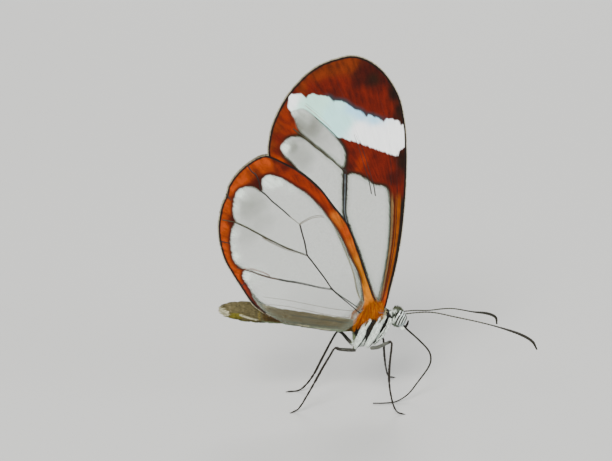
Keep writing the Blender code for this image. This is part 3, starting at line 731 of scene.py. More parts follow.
def markWing(wing, kind, plan, rim):
    spots = placesOf(wing)[:, (0, 2)]
    marks = spots - slide(kind, spots)
    warp = np.array([tuple(noise.noise_vector(Vector((x * 0.9, z * 0.9, 3.0))))[:2] for x, z in marks])
    warped = marks + warp * wingMake["warp"]
    clear = np.full(len(spots), -50.0)
    for window in plan["windows"]:
        clear = np.maximum(clear, insideBy(marks, smoothPath(window, 4, True)))
    white, shade, costal = np.full(len(spots), -9.0), np.zeros(len(spots)), np.zeros(len(spots))
    if "band" in plan:
        white = insideBy(marks, smoothPath(plan["band"], 2, True))
        # a painted shadow, fading out from a line just above the white band
        shade = soften(1 - lineDistance(marks, smoothPath(plan["shade"], 4)) / plan["shadeReach"])
        forward, up = marks.T
        low, high, end, front = plan["costal"]
        costal = soften((up - low) / end) * soften((high - up) / end) * (forward > front)
    spread = marks - np.array(plan["fan"])
    readings = {
        "edge": np.maximum(0, insideBy(spots, rim)), "clear": clear, "white": white, "shade": shade,
        "costal": costal, "frost": blobs(warped, plan["frost"]), "smoke": blobs(warped, plan["smoke"]),
        "lined": 1 - blobs(marks, plan["bare"]), "sheer": blobs(marks, plan["sheer"]),
        "ray": np.arctan2(spread[:, 0], spread[:, 1]) * wingMake["fanReach"],
        "reach": np.linalg.norm(spread, axis=1),
        "tint": toneField(warped, plan["tones"]), "chalk": toneField(marks, plan["chalkTones"]),
    }
    for name, values in readings.items():
        setReading(wing, name, values)


wingFinish = {
    "line": (0.007, 0.004, 0.003),
    "paneLine": {"fore": (0.012, 0.006, 0.002), "hind": (0.026, 0.003, 0.001)},
    # the colour of the painted shadow just above the white band
    "slate": (0.020, 0.030, 0.036),
    "glass": (0.22, 0.27, 0.21),
    "smoke": (0.055, 0.045, 0.015),
    "frost": (0.80, 0.88, 0.80),
    # the leading edge, from the margin to the first window
    "costa": (
        (0.0, (0.006, 0.004, 0.002)), (0.22, (0.006, 0.004, 0.002)), (0.31, (0.15, 0.034, 0.001)),
        (0.56, (0.19, 0.046, 0.001)), (0.64, (0.045, 0.004, 0.0005)), (0.73, (0.065, 0.008, 0.0005)),
        (0.80, (0.17, 0.10, 0.035)), (0.89, (0.13, 0.07, 0.025)), (0.95, (0.015, 0.008, 0.003)),
        (1.0, (0.012, 0.006, 0.003)),
    ),
}


def colourSteps(material, value, steps):
    ramp = addNode(material, "ShaderNodeValToRGB", {"Fac": value})
    points = ramp.color_ramp.elements
    while len(points) < len(steps):
        points.new(0.5)
    for point, (at, colour) in zip(points, steps):
        point.position = at
        point.color = (*colour, 1)
    return ramp.outputs["Color"]


def wingMaterial(name, kind):
    made = newMaterial(name, specular=0.12)
    times, most, least = (partial(sums, made, step) for step in ("MULTIPLY", "MAXIMUM", "MINIMUM"))
    read = partial(reading, made)
    clear, edge, lined, white, shade = map(read, ("clear", "edge", "lined", "white", "shade"))
    costal, frost, smoke, sheer = map(read, ("costal", "frost", "smoke", "sheer"))
    fine = objectPlace(made, 1000)
    lean = 0.3 if kind == "fore" else -0.5
    ways = {"X": times(read("ray"), 3.4), "Y": times(read("reach"), 0.55)}
    streaks = noiseAt(made, addNode(made, "ShaderNodeCombineXYZ", ways).outputs[0])
    clouds, dust = noiseAt(made, fine, 0.7, 4.0), noiseAt(made, fine, 7.0, 2.0)
    specks = cellsAt(made, fine, 1.1)
    scales = cellsAt(made, objectPlace(made, (9000, 2000, 5200), (0, lean, 0)))
    # scaled parts: listed tones, darker and lighter along the rows of scales
    light = vary(made, vary(made, vary(made, 1.0, clouds, 1.2), streaks, 1.6), dust, 0.7)
    warm = brighten(made, read("tint", "Color"), light)
    beyond = most(times(clear, -1.0), 0.0)
    across = sums(made, "DIVIDE", edge, most(sums(made, "ADD", edge, beyond), 0.02))
    costa = colourSteps(made, vary(made, across, streaks, 0.10), wingFinish["costa"])
    warm = blend(made, costal, warm, brighten(made, costa, light))
    paneLine = ease(made, vary(made, clear, streaks, 0.4), -0.48, -0.06, 0.0, 0.88)
    paneLine = times(times(paneLine, lined), sums(made, "SUBTRACT", 1.0, costal))
    warm = blend(made, paneLine, warm, wingFinish["paneLine"][kind])
    # painted shadow: a slate blur just outside the white band's upper edge
    warm = blend(made, times(shade, ease(made, white, -0.6, -0.1, 0.0, 0.85)), warm, wingFinish["slate"])
    # the white band, ragged along the rows of scales
    whiteShare = ease(made, vary(made, white, streaks, 0.55), -0.08, 0.14)
    band = brighten(made, read("chalk", "Color"), vary(made, 1.0, streaks, 0.25))
    shown = blend(made, whiteShare, warm, band)
    rimLine = ease(made, vary(made, edge, streaks, 0.14), 0.27, 0.13)
    rimLine = sums(made, "MULTIPLY_ADD", times(rimLine, sheer), -0.75, rimLine)
    shown = blend(made, rimLine, shown, wingFinish["line"])
    # windows: almost clear, hazy and smoky in places, with a dust of pale scales
    open = ease(made, vary(made, clear, streaks, 0.35), -0.1, 0.2)
    open = most(open, ease(made, sheer, 0.0, 0.55, 0.0, 0.97))
    frosty = times(frost, ease(made, streaks, 0.3, 0.62, 0.55, 1.0))
    murk = times(smoke, ease(made, clouds, 0.3, 0.7, 0.85, 1.0))
    chosen = ease(made, times(specks["Color"], 1.0), 0.9, 0.93)
    pale = most(frosty, times(ease(made, specks["Distance"], 0.13, 0.05), chosen))
    pane = blend(made, least(times(murk, 1.6), 1.0), wingFinish["glass"], wingFinish["smoke"])
    pane = blend(made, least(times(pale, 2.0), 1.0), pane, wingFinish["frost"])
    feed(made, "Base Color", blend(made, open, shown, pane))
    hem = ease(made, clear, 0.7, 0.1, 0.0, 0.07)
    haze = sums(made, "ADD", ease(made, dust, 0.35, 0.75, 0.06, 0.11), hem)
    haze = most(most(haze, times(murk, 0.8)), times(pale, 0.72))
    feed(made, "Alpha", sums(made, "ADD", times(open, haze), sums(made, "SUBTRACT", 1.0, open)))
    feed(made, "Roughness", ease(made, open, 0.0, 1.0, 0.66, 0.26))
    relief = times(scales["Distance"], sums(made, "MULTIPLY_ADD", open, -0.85, 1.0))
    addBump(made, relief, 0.3, 0.00002)
    return made


veinFinish = {
    "dark": ((0.008, 0.006, 0.004), 0.45),
    "maroon": ((0.035, 0.003, 0.001), 0.55),
    "rust": ((0.12, 0.025, 0.004), 0.55),
    "brown": ((0.030, 0.010, 0.003), 0.55),
    "tan": ((0.075, 0.050, 0.022), 0.5),
    "olive": ((0.022, 0.018, 0.006), 0.5),
    "grey": ((0.05, 0.055, 0.05), 0.5),
    # a lighter line for the middle of a vein edged by dark lines: a painted highlight where the round vein
    # is lit
    "steel": ((0.055, 0.070, 0.075), 0.4),
    "pale": ((0.34, 0.40, 0.34), 0.5),
    "mist": ((0.50, 0.54, 0.54), 0.6),
}


def veinMaterials():
    made = {}
    for tint, (colour, roughness) in veinFinish.items():
        vein = newMaterial(tint + "Vein", roughness, 0.2)
        grain = grainOf(vein, 2500)
        lighter = tuple(channel * 1.7 + 0.003 for channel in colour)
        feed(vein, "Base Color", blend(vein, ease(vein, grain, 0.4, 0.7), colour, lighter))
        addBump(vein, grain, 0.3, 0.00002)
        made[tint] = vein
    return made


fringePlan = {
    "spacing": 0.036, "length": 0.2, "width": 0.06, "thickness": 0.015, "pale": 0.7,
    "dark": (0.02, 0.014, 0.009), "light": (0.40, 0.36, 0.24),
}


def fringeMaterial():
    made = newMaterial("fringeScales", 0.8, 0.1)
    feed(made, "Base Color", blend(made, reading(made, "pale"), fringePlan["dark"], fringePlan["light"]))
    addBump(made, grainOf(made, 6000, 2.0), 0.2, 0.00002)
    return made


def makeWingPair(kind, plan, wingStuff, veinStuff, fringeStuff, draw):
    rim = onMembrane(kind, smoothPath(plan["outline"], 6, True))
    flat = cutWing(kind + "wing", rim)
    markWing(flat, kind, plan, rim)
    spots = placesOf(flat)[:, (0, 2)]
    offsets = wingOffset(kind, spots[:, 0], spots[:, 1])
    for sideName, side in sides:
        wing = flat.copy()
        wing.data = flat.data.copy()
        wing.name = f"{kind}wingMembrane_{sideName}"
        bpy.context.collection.objects.link(wing)
        bent = np.stack((spots[:, 0], side * offsets, spots[:, 1]), axis=1)
        wing.data.vertices.foreach_set("co", bent.ravel())
        wing.data.materials.append(wingStuff)
        if side > 0:
            wing.data.flip_normals()
        applyModifier(wing, "SOLIDIFY", thickness=wingMake["thickness"], offset=0.0, use_even_offset=False)
        finishPiece(wing, "wing", f"{kind}wing_{sideName}")
        veins = []
        for tint, radius, knots in plan["veins"]:
            line = onMembrane(kind, smoothPath(knots, 6))
            aside = wingOffset(kind, line[:, 0], line[:, 1])
            points = [(x, side * y, z) for (x, z), y in zip(line, aside)]
            taper = [radius * (1.15 - 0.4 * i / (len(line) - 1)) for i in range(len(line))]
            veins.append(drawTube("vein", points, taper, 1, veinStuff[tint]))
        finishPiece(joinPieces(veins, f"{kind}wingVeins_{sideName}"), "wing")
        makeFringe(kind, plan, rim, side, sideName, fringeStuff, draw)
    bpy.data.objects.remove(flat)


def makeFringe(kind, plan, rim, side, sideName, fringeStuff, draw):
    # slim scales standing out from the wing's edge, paler and darker by chance
    roots, along, pale = [], [], []
    loop = [Vector(spot) for spot in rim] + [Vector(rim[0])]
    carried = 0.0
    for a, b in zip(loop, loop[1:]):
        span = (b - a).length
        outward = Vector(((b - a).y, -(b - a).x)).normalized()
        while carried < span:
            spot = a.lerp(b, carried / span)
            leading = kind == "hind" and outward.x > 0.2
            if spot.y > plan["fringeFrom"] and not leading:
                lean = outward + Vector((draw.uniform(-0.25, 0.25), draw.uniform(-0.25, 0.25)))
                inner = spot - outward * 0.08
                y = wingOffset(kind, np.array([inner.x]), np.array([inner.y]))[0]
                roots.append((inner.x, side * (y + draw.uniform(-0.02, 0.02)), inner.y))
                along.append((lean.x, draw.uniform(-0.12, 0.12), lean.y))
                pale.append(min(1.0, max(0.0, draw.gauss(fringePlan["pale"], 0.25))))
            carried += fringePlan["spacing"] * draw.uniform(0.7, 1.3)
        carried -= span
    fringe = plantSpikes(
        f"{kind}wingFringe_{sideName}", fringeStuff, roots, along, [(0.0, side, 0.0) for _ in roots],
        [fringePlan["length"] * draw.uniform(0.75, 1.2) for _ in roots], fringePlan["width"],
        fringePlan["thickness"], 0.0, {"pale": pale},
    )
    finishPiece(fringe, "wing")


# Body. Rings along it: place, underside, top and half width.
bodyPlan = {
    "abdomen": (
        (-2.0, 7.9, 9.9, 0.55), (-2.65, 8.35, 10.0, 0.62), (-4.15, 8.45, 10.3, 0.78),
        (-6.4, 8.85, 10.8, 0.82), (-8.7, 9.35, 11.3, 0.85), (-11.0, 9.85, 11.8, 0.88),
        (-13.4, 10.1, 12.65, 0.95), (-14.9, 10.35, 12.85, 0.93), (-16.2, 10.75, 12.85, 0.8),
        (-16.9, 11.0, 12.7, 0.66), (-17.3, 11.4, 12.45, 0.4),
    ),
    "thorax": (
        (-2.45, 7.3, 9.5, 0.5), (-2.2, 6.8, 9.85, 0.85), (-1.8, 6.5, 10.2, 1.05), (-1.2, 6.5, 10.65, 1.22),
        (-0.5, 7.0, 10.95, 1.3), (0.0, 7.7, 11.1, 1.26), (0.5, 8.4, 11.15, 1.12), (0.85, 9.0, 11.15, 0.98),
        (1.2, 9.6, 11.1, 0.8), (1.5, 9.75, 10.95, 0.66), (1.9, 9.5, 10.75, 0.55), (2.4, 9.2, 10.6, 0.5),
    ),
    "segments": (-2.1, -4.3, -6.4, -8.4, -10.3, -12.1, -13.8, -15.3, -16.5, -17.4),
    "skinDepth": 0.1,        # the skin lies this far inside the tips of the coat
    "head": ((2.62, 0.0, 9.88), (0.90, 0.78, 1.22)),
    "voxel": 0.09,
    "neck": 1.95,
    "waist": -2.4,
}


def growRings(name, rows, corners):
    # a circle drawn out ring by ring along the body
    x, low, high, half = rows[0]
    centre = Vector((x, 0, (low + high) / 2))
    bpy.ops.mesh.primitive_circle_add(
        vertices=corners, radius=1, fill_type="NGON", location=centre, rotation=(0, wholeTurn / 4, 0)
    )
    form = bpy.context.object
    form.name = name
    bpy.ops.object.transform_apply(location=True, rotation=True, scale=True)
    bpy.ops.object.mode_set(mode="EDIT")
    bpy.ops.mesh.select_all(action="SELECT")
    bpy.ops.transform.resize(value=(1, half, (high - low) / 2), center_override=centre)
    for before, row in zip(rows, rows[1:]):
        x, low, high, half = row
        step = Vector((x, 0, (low + high) / 2)) - centre
        centre = centre + step
        bpy.ops.mesh.extrude_region_move(TRANSFORM_OT_translate={"value": step})
        grow = (1, half / before[3], (high - low) / (before[2] - before[1]))
        bpy.ops.transform.resize(value=grow, center_override=centre)
    bpy.ops.object.mode_set(mode="OBJECT")
    turnOutward(form)
    return form


def slimmer(row, depth):
    x, low, high, half = row
    return (x, low + depth, high - depth, max(0.12, half - depth))


def addLump(name, place, size, turn=(0, 0, 0)):
    bpy.ops.mesh.primitive_uv_sphere_add(
        segments=24, ring_count=14, location=place, rotation=turn, scale=size
    )
    lump = bpy.context.object
    lump.name = name
    bpy.ops.object.transform_apply(location=True, rotation=True, scale=True)
    return lump


bodyLumps = (
    # coxae and side plates of the thorax: place on the right side, half sizes, tilt seen from the side
    ("frontCoxa", (1.1, -0.42, 8.9), (0.24, 0.3, 1.1), 0.42),
    ("midCoxa", (-0.12, -0.74, 8.25), (0.36, 0.44, 1.8), 0.47),
    ("hindCoxa", (-1.75, -0.74, 7.95), (0.36, 0.44, 1.65), 0.42),
    ("sidePlate", (-0.75, -0.9, 9.6), (0.5, 0.3, 0.9), 0.45),
    ("tegula", (0.75, -0.72, 10.85), (0.42, 0.32, 0.32), 0.3),
    ("hindwingSocket", (-1.2, -0.72, 10.35), (0.75, 0.34, 0.38), -0.35),
)


def makeSkin(skinStuff):
    depth = bodyPlan["skinDepth"]
    abdomen = [slimmer(row, depth) for row in abdomenRows()]
    parts = [growRings("abdomenForm", abdomen, 28)]
    thorax = [slimmer(tuple(row), depth) for row in smoothPath(bodyPlan["thorax"], 3)]
    parts.append(growRings("thoraxForm", thorax, 32))
    place, size = bodyPlan["head"]
    parts.append(addLump("headForm", place, tuple(half - depth for half in size)))
    for name, (x, y, z), size, tilt in bodyLumps:
        parts += [addLump(name, (x, y * turned, z), size, (0, tilt, 0)) for turned in (1, -1)]
    skin = joinPieces(parts, "bodySkin")
    applyModifier(skin, "REMESH", mode="VOXEL", voxel_size=bodyPlan["voxel"])
    applyModifier(skin, "SMOOTH", factor=0.5, iterations=4)
    skin.data.materials.append(skinStuff)
    return skin


def abdomenRows():
    # each segment swells towards its rear edge and steps in under the next
    rows = []
    line = smoothPath(bodyPlan["abdomen"], 8)
    cuts = bodyPlan["segments"]
    for front, rear in zip(cuts, cuts[1:]):
        for share, swell in ((0.04, 0.95), (0.3, 0.99), (0.7, 1.01), (0.96, 1.02)):
            x = front + (rear - front) * share
            low, high, half = (float(value) for value in abdomenAt(x, line))
            middle, reach = (low + high) / 2, (high - low) / 2 * swell
            rows.append((x, middle - reach, middle + reach, half * swell))
    return rows


# Markings of the body as seen from the side: how far aside they were read, the ground tone, then
# each mark's tone, half width and line. A later mark lies over an earlier one.
bodyMarks = {
    "abdomen": (0.75, "taupe", (
        ("tawny", 1.0, (-2.6, 9.3), (-7.0, 10.3), (-11.8, 11.3)),
        ("fawn", 0.10, (-2.6, 10.15), (-4.0, 10.4), (-8.5, 11.55), (-12.8, 12.4)),
        ("umber", 0.08, (-2.9, 9.75), (-6.0, 10.4), (-9.5, 11.1)),
        ("umber", 0.10, (-12.9, 12.1), (-12.9, 12.7)),
        ("sage", 0.17, (-12.75, 10.45), (-10.5, 10.05), (-8.45, 9.7), (-5.95, 9.2), (-3.3, 8.75)),
        ("cream", 0.05, (-9.0, 9.95), (-7.6, 9.65)), ("cream", 0.06, (-6.6, 9.3), (-5.2, 9.1)),
        ("umber", 0.06, (-12.3, 10.85), (-9.0, 10.2), (-6.4, 9.65), (-4.2, 9.3)),
        ("olive", 0.34, (-16.4, 11.45), (-15.3, 11.3)), ("olive", 0.12, (-15.1, 10.75), (-13.4, 10.35)),
        ("bone", 0.1, (-15.2, 11.45), (-14.3, 11.05), (-13.35, 10.75)),
        ("ochre", 0.08, (-13.1, 11.95), (-13.12, 10.8)), ("ink", 0.12, (-13.35, 10.42), (-12.7, 10.4)),
        ("fawn", 0.035, (-14.85, 13.2), (-15.0, 11.75)), ("fawn", 0.035, (-13.75, 12.65), (-13.85, 11.2)),
        ("fawn", 0.03, (-9.75, 12.2), (-9.65, 10.95)), ("fawn", 0.02, (-6.4, 11.3), (-6.3, 9.9)),
        ("bone", 0.5, (-17.6, 12.3), (-17.0, 11.7)), ("fawn", 0.12, (-16.5, 12.8), (-16.4, 11.6)),
    )),
    "thorax": (1.1, "soot", (
        ("umber", 0.2, (-2.5, 9.4), (-2.4, 8.5)), ("sage", 0.14, (-2.4, 8.5), (-2.4, 7.6)),
        ("chalk", 0.40, (-0.9, 10.2), (-2.3, 7.05)), ("chalk", 0.5, (0.75, 10.3), (-0.75, 7.1)),
        ("chalk", 0.5, (-0.75, 6.6), (-2.3, 6.3)), ("chalk", 0.2, (1.75, 10.2), (1.25, 8.75), (0.25, 7.3)),
        ("soot", 0.26, (0.0, 10.3), (-0.45, 9.65), (-0.85, 8.95)),
        ("soot", 0.16, (-0.85, 8.95), (-1.1, 7.8)), ("umber", 0.16, (0.1, 10.2), (-0.35, 9.7)),
        ("umber", 0.07, (-0.45, 9.4), (-0.7, 9.0)), ("soot", 0.2, (1.35, 10.2), (1.0, 9.4)),
        ("soot", 0.12, (1.0, 9.4), (0.05, 7.85), (-0.55, 7.0)),
        ("soot", 0.04, (1.8, 10.1), (1.36, 8.8), (0.36, 7.3)),
        ("soot", 0.03, (1.5, 9.8), (1.08, 8.75), (0.12, 7.3)), ("chalk", 0.2, (-1.35, 8.1), (-1.6, 6.8)),
        ("soot", 0.1, (-1.0, 8.5), (-2.1, 6.75)), ("soot", 0.22, (-2.5, 9.6), (-1.75, 9.85)),
        ("soot", 0.2, (-2.3, 9.4), (-2.2, 8.6)), ("steel", 0.2, (0.75, 10.95), (0.8, 10.6)),
        ("cream", 0.15, (1.1, 11.6), (1.2, 11.0), (0.85, 10.4)), ("fawn", 0.12, (0.7, 10.35), (0.4, 9.9)),
        ("fawn", 0.1, (-0.85, 10.15), (-1.15, 9.7)), ("ink", 0.1, (1.35, 10.8), (1.3, 9.9)),
        ("chalk", 0.1, (1.7, 10.95), (1.85, 10.65)), ("ink", 0.08, (1.6, 10.7), (1.9, 10.2)),
        ("honey", 0.22, (-2.5, 10.1), (-1.6, 10.4), (-0.5, 10.75), (0.3, 11.0)),
    )),
    "head": (0.75, "ash", (
        ("moss", 0.55, (1.8, 11.3), (2.65, 11.5), (3.3, 11.2)), ("ink", 0.2, (1.8, 10.6), (1.75, 9.9)),
        ("chalk", 0.1, (1.95, 10.75), (2.4, 10.75)), ("ink", 0.1, (1.9, 10.3), (2.2, 10.35)),
        ("chalk", 0.18, (1.95, 9.75), (2.2, 9.9)), ("soot", 0.12, (1.9, 9.3), (2.1, 8.9)),
        ("slate", 0.3, (2.3, 8.6), (3.2, 8.5)), ("ink", 0.14, (3.5, 10.55), (3.55, 10.4)),
    )),
}
bodyTones = {
    "taupe": (0.085, 0.070, 0.030), "fawn": (0.12, 0.10, 0.05), "umber": (0.026, 0.016, 0.006),
    "tawny": (0.062, 0.038, 0.010), "sage": (0.15, 0.18, 0.10), "olive": (0.13, 0.11, 0.012),
    "bone": (0.42, 0.40, 0.26), "ochre": (0.17, 0.13, 0.03), "cream": (0.50, 0.44, 0.26),
    "chalk": (0.72, 0.79, 0.71), "soot": (0.012, 0.011, 0.009), "ink": (0.006, 0.006, 0.005),
    "steel": (0.16, 0.19, 0.21), "honey": (0.32, 0.085, 0.003), "ash": (0.13, 0.155, 0.12),
    "moss": (0.075, 0.085, 0.05), "slate": (0.20, 0.25, 0.25),
}


def bodyLook(places):
    # the coat's colour at each place on the skin
    colours = np.zeros((len(places), 3))
    x = places[:, 0]
    regions = {"abdomen": x < bodyPlan["waist"], "head": x > bodyPlan["neck"]}
    regions["thorax"] = ~(regions["abdomen"] | regions["head"])
    for region, (plane, ground, marks) in bodyMarks.items():
        here = places[regions[region]]
        spots = here[:, (0, 2)] - (plane - np.abs(here[:, 1]))[:, None] * np.array(sight["slope"])
        found = np.tile(bodyTones[ground], (len(here), 1))
        for tone, half, *line in marks:
            cover = soften((half + 0.04 - lineDistance(spots, line)) / 0.08)[:, None]
            found = found + (np.array(bodyTones[tone]) - found) * cover
        colours[regions[region]] = found
    # the abdomen is pale below
    low, high, _ = abdomenAt(x, bodyPlan["abdomen"])
    under = soften((0.16 - (places[:, 2] - low) / (high - low)) / 0.1) * (x < bodyPlan["waist"])
    return colours + (np.array(bodyTones["sage"]) - colours) * under[:, None]


def coatMaterial(name, mottle):
    made = newMaterial(name, 0.75, 0.12)
    speckle = grainOf(made, (1500, 4000, 4000), 4.0)
    light = vary(made, 1.0, speckle, mottle)
    feed(made, "Base Color", brighten(made, reading(made, "tint", "Color"), light))
    addBump(made, speckle, 0.5, 0.00004)
    return made


coatPlan = {
    # region: how many tufts, length, width, lift, share of random turn
    "abdomen": (7000, 0.26, 0.09, 0.04, 0.08),
    "thorax": (7500, 0.30, 0.075, 0.12, 0.09),
    "head": (2200, 0.24, 0.055, 0.3, 0.2),
    "draws": 90000,
    "thickness": 0.022,
    "uneven": (0.5, 1.15),
    "jitter": 0.05,
    "unwrapped": (-18.0, 22.0, 9.5),     # the body's tail, its length and the height of its axis
}
coatLay = {
    # region: the height that parts its lay and the lay above and below there, then by how much it
    # grows longer, past what place, within what reach and which way
    "abdomen": (0.0, (-1, 0, 0.08), (-1, 0, 0.08), 1.0, 16.3, 0.5, (-1, 0, 0)),
    "thorax": (10.4, (-1, 0, 0.25), (-0.5, 0, -1), 0.9, 10.5, 0.4, (0, 0, 1)),
    "head": (9.9, (-0.3, 0, 1), (0.2, 0, -1), 0.5, 10.3, 0.4, (0, 0, 1)),
}


def makeCoat(skin, coatStuff, draw):
    faces = list(skin.data.polygons)
    corners = [v.co.copy() for v in skin.data.vertices]
    tree = BVHTree.FromPolygons(corners, [tuple(face.vertices) for face in faces])
    spots = {"abdomen": [], "thorax": [], "head": []}
    for face in draw.choices(faces, weights=[face.area for face in faces], k=coatPlan["draws"]):
        x = face.center.x
        region = "abdomen" if x < bodyPlan["waist"] else ("thorax" if x < bodyPlan["neck"] else "head")
        if len(spots[region]) < coatPlan[region][0]:
            spots[region].append(face.center)
    for region in spots:
        length, width, lift, wander = coatPlan[region][1:]
        parting, above, below, gain, past, reach, way = coatLay[region]
        tufts = []
        for spot in spots[region]:
            near = spot + Vector([draw.uniform(-coatPlan["jitter"], coatPlan["jitter"]) for _ in range(3)])
            hit, normal, _, _ = tree.find_nearest(near)
            flow = Vector(above if hit.z > parting else below)
            flow = flow - normal * flow.dot(normal)
            if flow.length < 0.05:
                continue
            flow = flow.normalized() + Vector([draw.gauss(0, wander) for _ in range(3)])
            longer = 1.0 + gain * float(soften((hit.dot(Vector(way)) - past) / reach))
            tail, span, middle = coatPlan["unwrapped"]
            angle = math.atan2(hit.y, hit.z - middle) / wholeTurn + 0.5
            tufts.append((
                hit, flow, normal,
                length * draw.uniform(0.6, 1.25) * longer,
                width * draw.uniform(0.8, 1.2),
                lift * draw.uniform(0.3, 1.5) * longer,
                ((hit.x - tail) / span * 0.99, angle * 0.99),
            ))
        roots, along, out, lengths, widths, lifts, patches = zip(*tufts)
        tones = bodyLook(np.array(roots)) * np.array([[draw.uniform(*coatPlan["uneven"])] for _ in roots])
        coat = plantSpikes(
            region + "Coat", coatStuff, roots, along, out, lengths, widths,
            coatPlan["thickness"], lifts, {"tint": tones}, patches,
        )
        finishPiece(coat, "abdomen_scales" if region == "abdomen" else "body_scales")


# Long hair where the wings grow from the thorax: places of the roots' line and of the line the tips reach.
rootHair = {
    "count": 1900,
    "aside": (1.02, 1.3),
    "lean": 0.5,              # how far the foremost hair leans in to the forewing
    "roots": ((-2.55, 9.2), (-1.9, 9.75), (-1.0, 10.15), (-0.1, 10.45), (0.75, 10.8)),
    "tips": ((-1.75, 10.9), (-1.3, 11.6), (-0.9, 12.3), (-0.2, 12.6), (0.75, 12.3)),
    "width": 0.034,
    "thickness": 0.02,
    "tones": (("amber", 5), ("orange", 4), ("gold", 6), ("glow", 6), ("honey", 4), ("rust", 2)),
}


def makeRootHair(coatStuff, draw):
    hairTones = {**bodyTones, **tonePalette}
    names = [tone for tone, share in rootHair["tones"] for _ in range(share)]
    lower, upper = (np.array(smoothPath(rootHair[line], 5)) for line in ("roots", "tips"))
    for sideName, side in sides:
        hairs = []
        for _ in range(rootHair["count"]):
            at = draw.uniform(0, 1)
            reach = draw.uniform(0.3, 1.0) * (1.0 if draw.random() < 0.8 else 1.25)
            start = pointOn(lower, at) + (draw.gauss(0, 0.1), draw.gauss(0.2, 0.3))
            far = pointOn(upper, min(1.0, max(0.0, at + draw.gauss(0, 0.06)))) - start
            aside = draw.uniform(*rootHair["aside"])
            hairs.append((
                (start[0], side * (aside - 0.1), start[1]),
                (far[0], side * (draw.uniform(-0.28, 0.05) - rootHair["lean"] * at), far[1]),
                np.linalg.norm(far) * reach,
                np.array(hairTones[draw.choice(names)]) * draw.uniform(0.7, 1.3),
            ))
        roots, along, lengths, tones = zip(*hairs)
        patches = [(0.7 + 0.29 * draw.random(), 0.5 + side * 0.2 * draw.random()) for _ in hairs]
        hair = plantSpikes(
            "wingRootHair_" + sideName, coatStuff, roots, along, [(0.0, side, 0.0) for _ in hairs], lengths,
            [rootHair["width"] * draw.uniform(0.7, 1.3) for _ in hairs], rootHair["thickness"],
            [draw.uniform(0.0, 0.12) for _ in hairs], {"tint": tones}, patches,
        )
        finishPiece(hair, "body_scales")


def pointOn(line, share):
    # the place at a share, from 0 to 1, of a line's points
    return np.array([np.interp(share, np.linspace(0, 1, len(line)), line[:, k]) for k in (0, 1)])


# Eyes: striped glossy balls. The stripes bend about a point in front of and below each eye.
eyePlan = {
    "centre": (2.88, 0.46, 9.88), "size": (0.72, 0.6, 0.95), "bend": (4.6, 9.1), "spacing": 0.3,
    "start": 0.03, "dark": (0.010, 0.009, 0.007), "light": (0.55, 0.62, 0.56), "rim": (0.22, 0.28, 0.28),
}


def makeEyes():
    glossy = newMaterial("eyeLens", 0.2)
    x, y, z = eyePlan["centre"]
    parts = addNode(glossy, "ShaderNodeSeparateXYZ", {"Vector": objectPlace(glossy, 1000)})
    apart = [sums(glossy, "SUBTRACT", parts.outputs[axis], at) for axis, at in zip("XZ", eyePlan["bend"])]
    squares = [sums(glossy, "POWER", value, 2.0) for value in apart]
    far = sums(glossy, "ADD", sums(glossy, "SQRT", sums(glossy, "ADD", *squares)), eyePlan["start"])
    wave = sums(glossy, "SINE", sums(glossy, "MULTIPLY", far, wholeTurn / eyePlan["spacing"]))
    uneven = vary(glossy, wave, grainOf(glossy, 3500, 2.0), 1.5)
    striped = blend(glossy, ease(glossy, uneven, 0.0, 0.6), eyePlan["dark"], eyePlan["light"])
    low = sums(glossy, "MULTIPLY_ADD", parts.outputs["X"], -0.6, parts.outputs["Z"])
    rim = ease(glossy, sums(glossy, "SUBTRACT", low, z - 0.6 * x), -0.35, -0.75)
    feed(glossy, "Base Color", blend(glossy, rim, striped, eyePlan["rim"]))
    addBump(glossy, cellsAt(glossy, objectPlace(glossy, 14000))["Distance"], 0.15, 0.00001)
    put(glossy, "Coat Weight", 0.4)
    put(glossy, "Coat Roughness", 0.06)
    for sideName, side in sides:
        eye = addLump("eyeLens_" + sideName, (x, side * y, z), eyePlan["size"])
        eye.data.materials.append(glossy)
        applyModifier(eye, "SUBSURF", levels=1, render_levels=1)
        finishPiece(eye, "eye", "eye_" + sideName)


